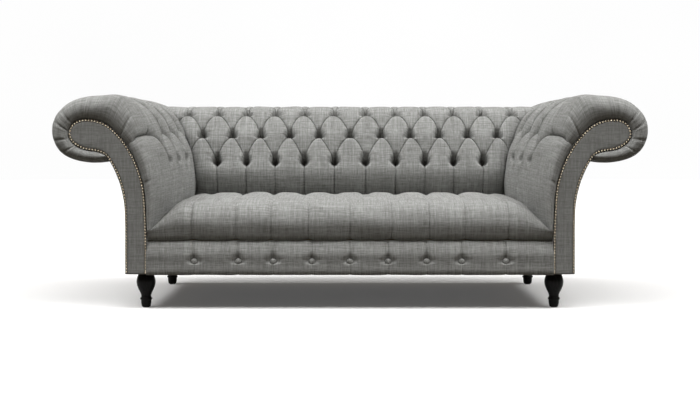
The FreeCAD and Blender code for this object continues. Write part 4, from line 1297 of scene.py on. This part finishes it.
back_at = button_places(back_surface, back_sink, back_buttons)
arm_at = button_places(arm_surface_left, arm_sink, [b for b in arm_buttons if inside_arm(b)])
border_at = button_places(border_surface, border_sink, border_buttons, BORDER_LIFT)
buttons_back = scatter("buttons_back", *back_at, button, 3, linen_cover)
buttons_arm_left = scatter("buttons_arm_left", *arm_at, button, 4, linen_cover)
buttons_arm_right = scatter("buttons_arm_right", *(part * MIRROR for part in arm_at), button, 5,
                            linen_cover)
buttons_border = scatter("buttons_border", *border_at, button, 6, linen_cover)

# %% [markdown]
# ## Brass nails
# Dome-headed nails hold the edge of each facing, head against head: up the inside, round the scroll
# and down the outside. The colour follows the distance from the middle of the head: near black at
# the rim as painted shade and pale on the crown as a painted highlight, with some wear mixed in.

# %% Brass nails
NAIL_PROFILE = [(5.3, -1.0), (5.2, 1.2), (4.3, 2.7), (2.7, 3.7), (0.9, 4.2)]
NAIL_PITCH = 10.95
NAIL_INSET = 6.0
NAIL_SUNK = 2.8
FIRST_NAIL_LIFT = 4.0
# Colours from the painted shade at the rim to the painted highlight on the crown.
BRASS_RIM_SHADE_TO_HIGHLIGHT = [(0.42, (0.010, 0.007, 0.005)), (0.52, (0.26, 0.18, 0.10)),
               (0.62, (0.98, 0.86, 0.66))]


def antique_brass():
    material, tree = new_material("antique_brass")
    worn = stretched_noise(tree, own_space(tree), (260.0, 260.0, 260.0), 3.0, 0.6)
    head = add_node(tree, "ShaderNodeUVMap", uv_map="cloth").outputs[0]
    from_crown = add_node(tree, "ShaderNodeVectorMath", {0: head}, operation="LENGTH")
    # Painted highlight and shade: the colour is lightest on the crown and near black at the rim.
    highlight_and_rim_shade = ramp_value(tree, from_crown.outputs["Value"], NAIL_PROFILE[0][0] * MM, 0.0, 0.0, 0.8)
    tone = maths(tree, "ADD", highlight_and_rim_shade, maths(tree, "MULTIPLY", worn, 0.2))
    show_grained(tree, ramp_colour(tree, tone, BRASS_RIM_SHADE_TO_HIGHLIGHT), worn, (0.45, 0.25), 0.15, 0.0004,
                 more={"Metallic": 0.6})
    return material


def nail_places():
    """Places along the facing's edge: up the inside, round the scroll and down the outside."""
    edge = np.concatenate([evenly(FACING_INNER, np.linspace(0, 1, 400)),
                           evenly(FACING_OUTER, np.linspace(1, 0, 400))])
    way = np.gradient(edge, axis=0)
    way /= np.linalg.norm(way, axis=1, keepdims=True)
    line = edge + NAIL_INSET * np.stack([way[:, 1], -way[:, 0]], 1)
    along = lengths_along(line)
    wanted = np.arange(2.0, along[-1] - 1.0, NAIL_PITCH)
    x = np.interp(wanted, along, line[:, 0])
    z = np.interp(wanted, along, line[:, 1])
    z[0] += FIRST_NAIL_LIFT
    return np.stack([-x, np.full_like(x, FACING_FRONT + NAIL_SUNK), z], -1)


brass = antique_brass()
nail = turned("nail", NAIL_PROFILE, 8, brass)
nails_at = nail_places()
forward = np.repeat([[0.0, -1.0, 0.0]], len(nails_at), axis=0)
nails_left = scatter("nails_left", nails_at, forward, nail, 7, brass)
nails_right = scatter("nails_right", nails_at * MIRROR, forward, nail, 8, brass)
for pattern in (button, nail):
    bpy.data.objects.remove(pattern)

# %% [markdown]
# ## Legs
# Each leg is turned: a short neck under the frame, a round bulb, a waist, a ring and a foot. The
# finish is black lacquer in which the grain can just be felt. The profile was measured in the
# picture, and a lathe shape needs nothing more.

# %% Legs
LEG_PROFILE = [(14.5, 3.0), (16.4, 3.6), (17.4, 8), (19.0, 17), (19.4, 24), (18.8, 27.5),
               (20.6, 28.6), (22.3, 31), (22.6, 33.5), (22.0, 36), (19.4, 38), (18.4, 42),
               (18.8, 48), (22.5, 57), (28.6, 69), (33.8, 83), (35.6, 96), (34.6, 107),
               (31.0, 118), (27.6, 126), (26.5, 130)]
LEG_PLACES = {"front_left": (-765, -405), "front_right": (765, -405),
              "rear_left": (-774, 383), "rear_right": (774, 383)}


def lacquer():
    material, tree = new_material("black_lacquer")
    grain = stretched_noise(tree, own_space(tree), (220.0, 220.0, 14.0), 4.0, 0.6)
    colour = ramp_colour(tree, grain, [(0.35, (0.002, 0.002, 0.002)),
                                       (0.65, (0.007, 0.0065, 0.006))])
    show_grained(tree, colour, grain, (0.30, 0.46), 0.12, 0.0005,
                 more={"Specular IOR Level": 0.08})
    return material


black = lacquer()
legs = {}
for name, (x, y) in LEG_PLACES.items():
    leg = turned("turned_leg_" + name, LEG_PROFILE, 48, black)
    leg.data.transform(Matrix.Translation((x * MM, y * MM, 0)))
    point_outwards(leg)
    legs[name] = leg
print("legs:", len(legs))

# %% [markdown]
# ## What lies inside
# The frame, boards, springs and fixings stay as the solid model made them. They only need finishes:
# sawn hardwood, plywood, zinc-plated steel, foam, jute cloth, black lining and nylon. One recipe is
# enough, a fine and a broad stretched noise between two colours, and a word in the name of each
# solid chooses its finish.

# %% Inner finishes
def plain_finish(name, dark, light, scale, roughness, metallic=0.0, bump=0.3):
    """Scale gives the features per metre along x, y and z, in the object's own space."""
    material, tree = new_material(name)
    place = own_space(tree)
    grain = stretched_noise(tree, place, scale, 5.0, 0.6)
    broad = stretched_noise(tree, place, tuple(0.2 * s for s in scale), 2.0)
    tone = maths(tree, "ADD", maths(tree, "MULTIPLY", grain, 0.6),
                 maths(tree, "MULTIPLY", broad, 0.4))
    colour = ramp_colour(tree, tone, [(0.35, dark), (0.65, light)])
    show_grained(tree, colour, grain, (roughness - 0.08, roughness + 0.08), bump, 0.0006,
                 more={"Metallic": metallic})
    return material


FINISHES = (
    ("sawn_hardwood", (0.34, 0.22, 0.12), (0.56, 0.40, 0.24), (16.0, 160.0, 160.0), 0.6),
    ("plywood", (0.42, 0.30, 0.17), (0.60, 0.46, 0.29), (40.0, 40.0, 220.0), 0.65),
    ("zinc_steel", (0.42, 0.43, 0.44), (0.66, 0.67, 0.68), (180.0,) * 3, 0.36, 1.0, 0.1),
    ("foam", (0.62, 0.56, 0.40), (0.78, 0.73, 0.58), (420.0,) * 3, 0.9, 0.0, 0.6),
    ("jute_cloth", (0.26, 0.17, 0.08), (0.50, 0.37, 0.21), (700.0, 90.0, 300.0), 0.9, 0.0, 0.7),
    ("black_lining", (0.010, 0.010, 0.011), (0.030, 0.030, 0.032), (900.0, 900.0, 300.0), 0.92),
    ("nylon", (0.05, 0.05, 0.05), (0.09, 0.09, 0.09), (150.0,) * 3, 0.45, 0.0, 0.1))
NODE_WORDS = (("board", "plywood"), ("springs", "zinc_steel"), ("clips", "zinc_steel"),
              ("bolts", "zinc_steel"), ("nuts", "zinc_steel"), ("core", "foam"),
              ("hessian", "jute_cloth"), ("dust", "black_lining"), ("glides", "nylon"))
finishes = {row[0]: plain_finish(*row) for row in FINISHES}
for name, node in nodes.items():
    kind = next((finish for word, finish in NODE_WORDS if word in name), "sawn_hardwood")
    node.data.materials.clear()
    node.data.materials.append(finishes[kind])
print("finishes:", sorted(finishes))

# %% [markdown]
# ## Joining the frame
# Each new piece takes the place of solids in the model and moves with the model's one body.

# %% Fit to the frame
def stand_for(piece, slot, *names, fill=None):
    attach(piece, "root")
    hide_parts(*names)


stand_for(back, "linen", "back_pad", fill=0.85)
stand_for(seat, "linen", "seat_pad", fill=0.85)
stand_for(border, "linen", "front_border", fill=0.7)
stand_for(buttons_back, "linen", "back_buttons")
stand_for(buttons_border, "linen", "border_buttons")
stand_for(outside_back, "linen_panel", "outside_back_panel")
sides = {"left": (arm_left, buttons_arm_left, facing_left, nails_left, rear_left, outside_left),
         "right": (arm_right, buttons_arm_right, facing_right, nails_right, rear_right,
                   outside_right)}
for side, (arm, arm_button, facing, nail_row, rear, outside) in sides.items():
    stand_for(arm, "linen", "arm_pad_" + side, fill=0.9)
    stand_for(arm_button, "linen", "arm_buttons_" + side)
    stand_for(facing, "linen_panel", "arm_facing_" + side)
    stand_for(nail_row, "antique_brass", "facing_nails_" + side)
    stand_for(rear, "linen_panel", "arm_rear_panel_" + side)
    stand_for(outside, "linen_panel", "arm_outer_panel_" + side)
for name, leg in legs.items():
    stand_for(leg, "black_wood", "leg_" + name)
print("pieces fitted:", 6 + 6 * len(sides) + len(legs))

# %% [markdown]
# ## Floor and backdrop
# The sofa stands on a pale round floor inside a bright round wall, so that it looks like a studio
# cut-out from every side. Near the sofa the floor only glows a little and keeps a soft shadow; far
# from it, and behind it, the glow grows until floor and wall are one white. Neither may light the
# sofa, because white from below would fill the shade under the seat and the rolls.

# %% Floor and backdrop
WALL_SIDES = 64
WALL_RADIUS = 16000.0
WALL_HEIGHT = 20000.0
FLOOR_GLOW = 0.075
GLOW_BEHIND = (0.6, 2.6)
GLOW_AROUND = (2.4, 5.0)


def floor_material():
    material, tree = new_material("studio_floor")
    place = own_space(tree)
    tone = stretched_noise(tree, place, (3.0, 3.0, 3.0), 4.0)
    colour = ramp_colour(tree, tone, [(0.3, (0.92, 0.92, 0.92)), (0.7, (0.95, 0.95, 0.95))])
    depth = add_node(tree, "ShaderNodeSeparateXYZ", {0: place}).outputs["Y"]
    far = add_node(tree, "ShaderNodeVectorMath", {0: place}, operation="LENGTH").outputs["Value"]
    glow = maths(tree, "MAXIMUM", ramp_value(tree, depth, *GLOW_BEHIND, FLOOR_GLOW, 1.0),
                 ramp_value(tree, far, *GLOW_AROUND, FLOOR_GLOW, 1.0))
    show(tree, add_node(tree, "ShaderNodeBsdfPrincipled", {
        "Base Color": colour, "Roughness": 0.8, "Specular IOR Level": 0.1,
        "Emission Color": (1.0, 1.0, 1.0, 1.0), "Emission Strength": glow}))
    return material


def wall_material():
    material, tree = new_material("studio_sheet")
    tone = stretched_noise(tree, own_space(tree), (0.3, 0.3, 0.3), 2.0)
    colour = ramp_colour(tree, tone, [(0.3, (0.98, 0.98, 0.98)), (0.7, (1.0, 1.0, 1.0))])
    show(tree, add_node(tree, "ShaderNodeEmission", {"Color": colour, "Strength": 1.0}))
    return material


turn = np.linspace(0, 2 * math.pi, WALL_SIDES, endpoint=False)
foot = WALL_RADIUS * np.stack([np.cos(turn), np.sin(turn), 0 * turn], 1)
wall_faces = [[(i + 1) % WALL_SIDES, i, WALL_SIDES + i, WALL_SIDES + (i + 1) % WALL_SIDES]
              for i in range(WALL_SIDES)]
floor = mesh_object("floor", foot, [list(range(WALL_SIDES))], floor_material())
backdrop = mesh_object("backdrop", np.concatenate([foot, foot + [0, 0, WALL_HEIGHT]]), wall_faces,
                       wall_material())
backdrop.visible_glossy = False
for ground in (floor, backdrop):
    ground.visible_diffuse = False
print("floor and backdrop, %.0f m across" % (2 * WALL_RADIUS * MM))

# %% [markdown]
# ## Light
# One long strip hangs above and a little in front. It makes the seat and the roll tops light and
# leaves the border and the facings in half shade. Two weak lights above the arms reach the outer
# sides of the scrolls, and a faint warm surrounding keeps the pits from going black. A single small
# lamp would draw hard shadows that the picture does not have.

# %% Light
def area_light(name, place, target, size, watts):
    data = bpy.data.lights.new(name, "AREA")
    data.shape = "RECTANGLE"
    data.size, data.size_y = size
    data.energy = watts
    lamp = bpy.data.objects.new(name, data)
    lamp.location = place
    way = np.asarray(target, float) - np.asarray(place, float)
    turn = math.atan2(way[1], way[0]) - math.pi / 2
    lamp.rotation_euler = (math.atan2(math.hypot(way[0], way[1]), -way[2]), 0.0, turn)
    scene.collection.objects.link(lamp)
    print(name, data.size, "x", data.size_y, "m,", watts, "W")


area_light("top_light", place=(0.0, -3.1, 7.75), target=(0.0, -0.2, 0.4), size=(18.0, 4.0),
           watts=985.0)
for side in (-1, 1):
    area_light("side_light", place=(4.2 * side, -0.2, 6.0), target=(0.0, 0.0, 0.5),
               size=(3.0, 3.0), watts=205.0)
world = bpy.data.worlds.new("studio")
scene.world = world
world.use_nodes = True
surroundings = world.node_tree.nodes["Background"].inputs
surroundings["Color"].default_value = (1.0, 0.90, 0.76, 1.0)
surroundings["Strength"].default_value = 0.12
scene.view_settings.view_transform = "Standard"
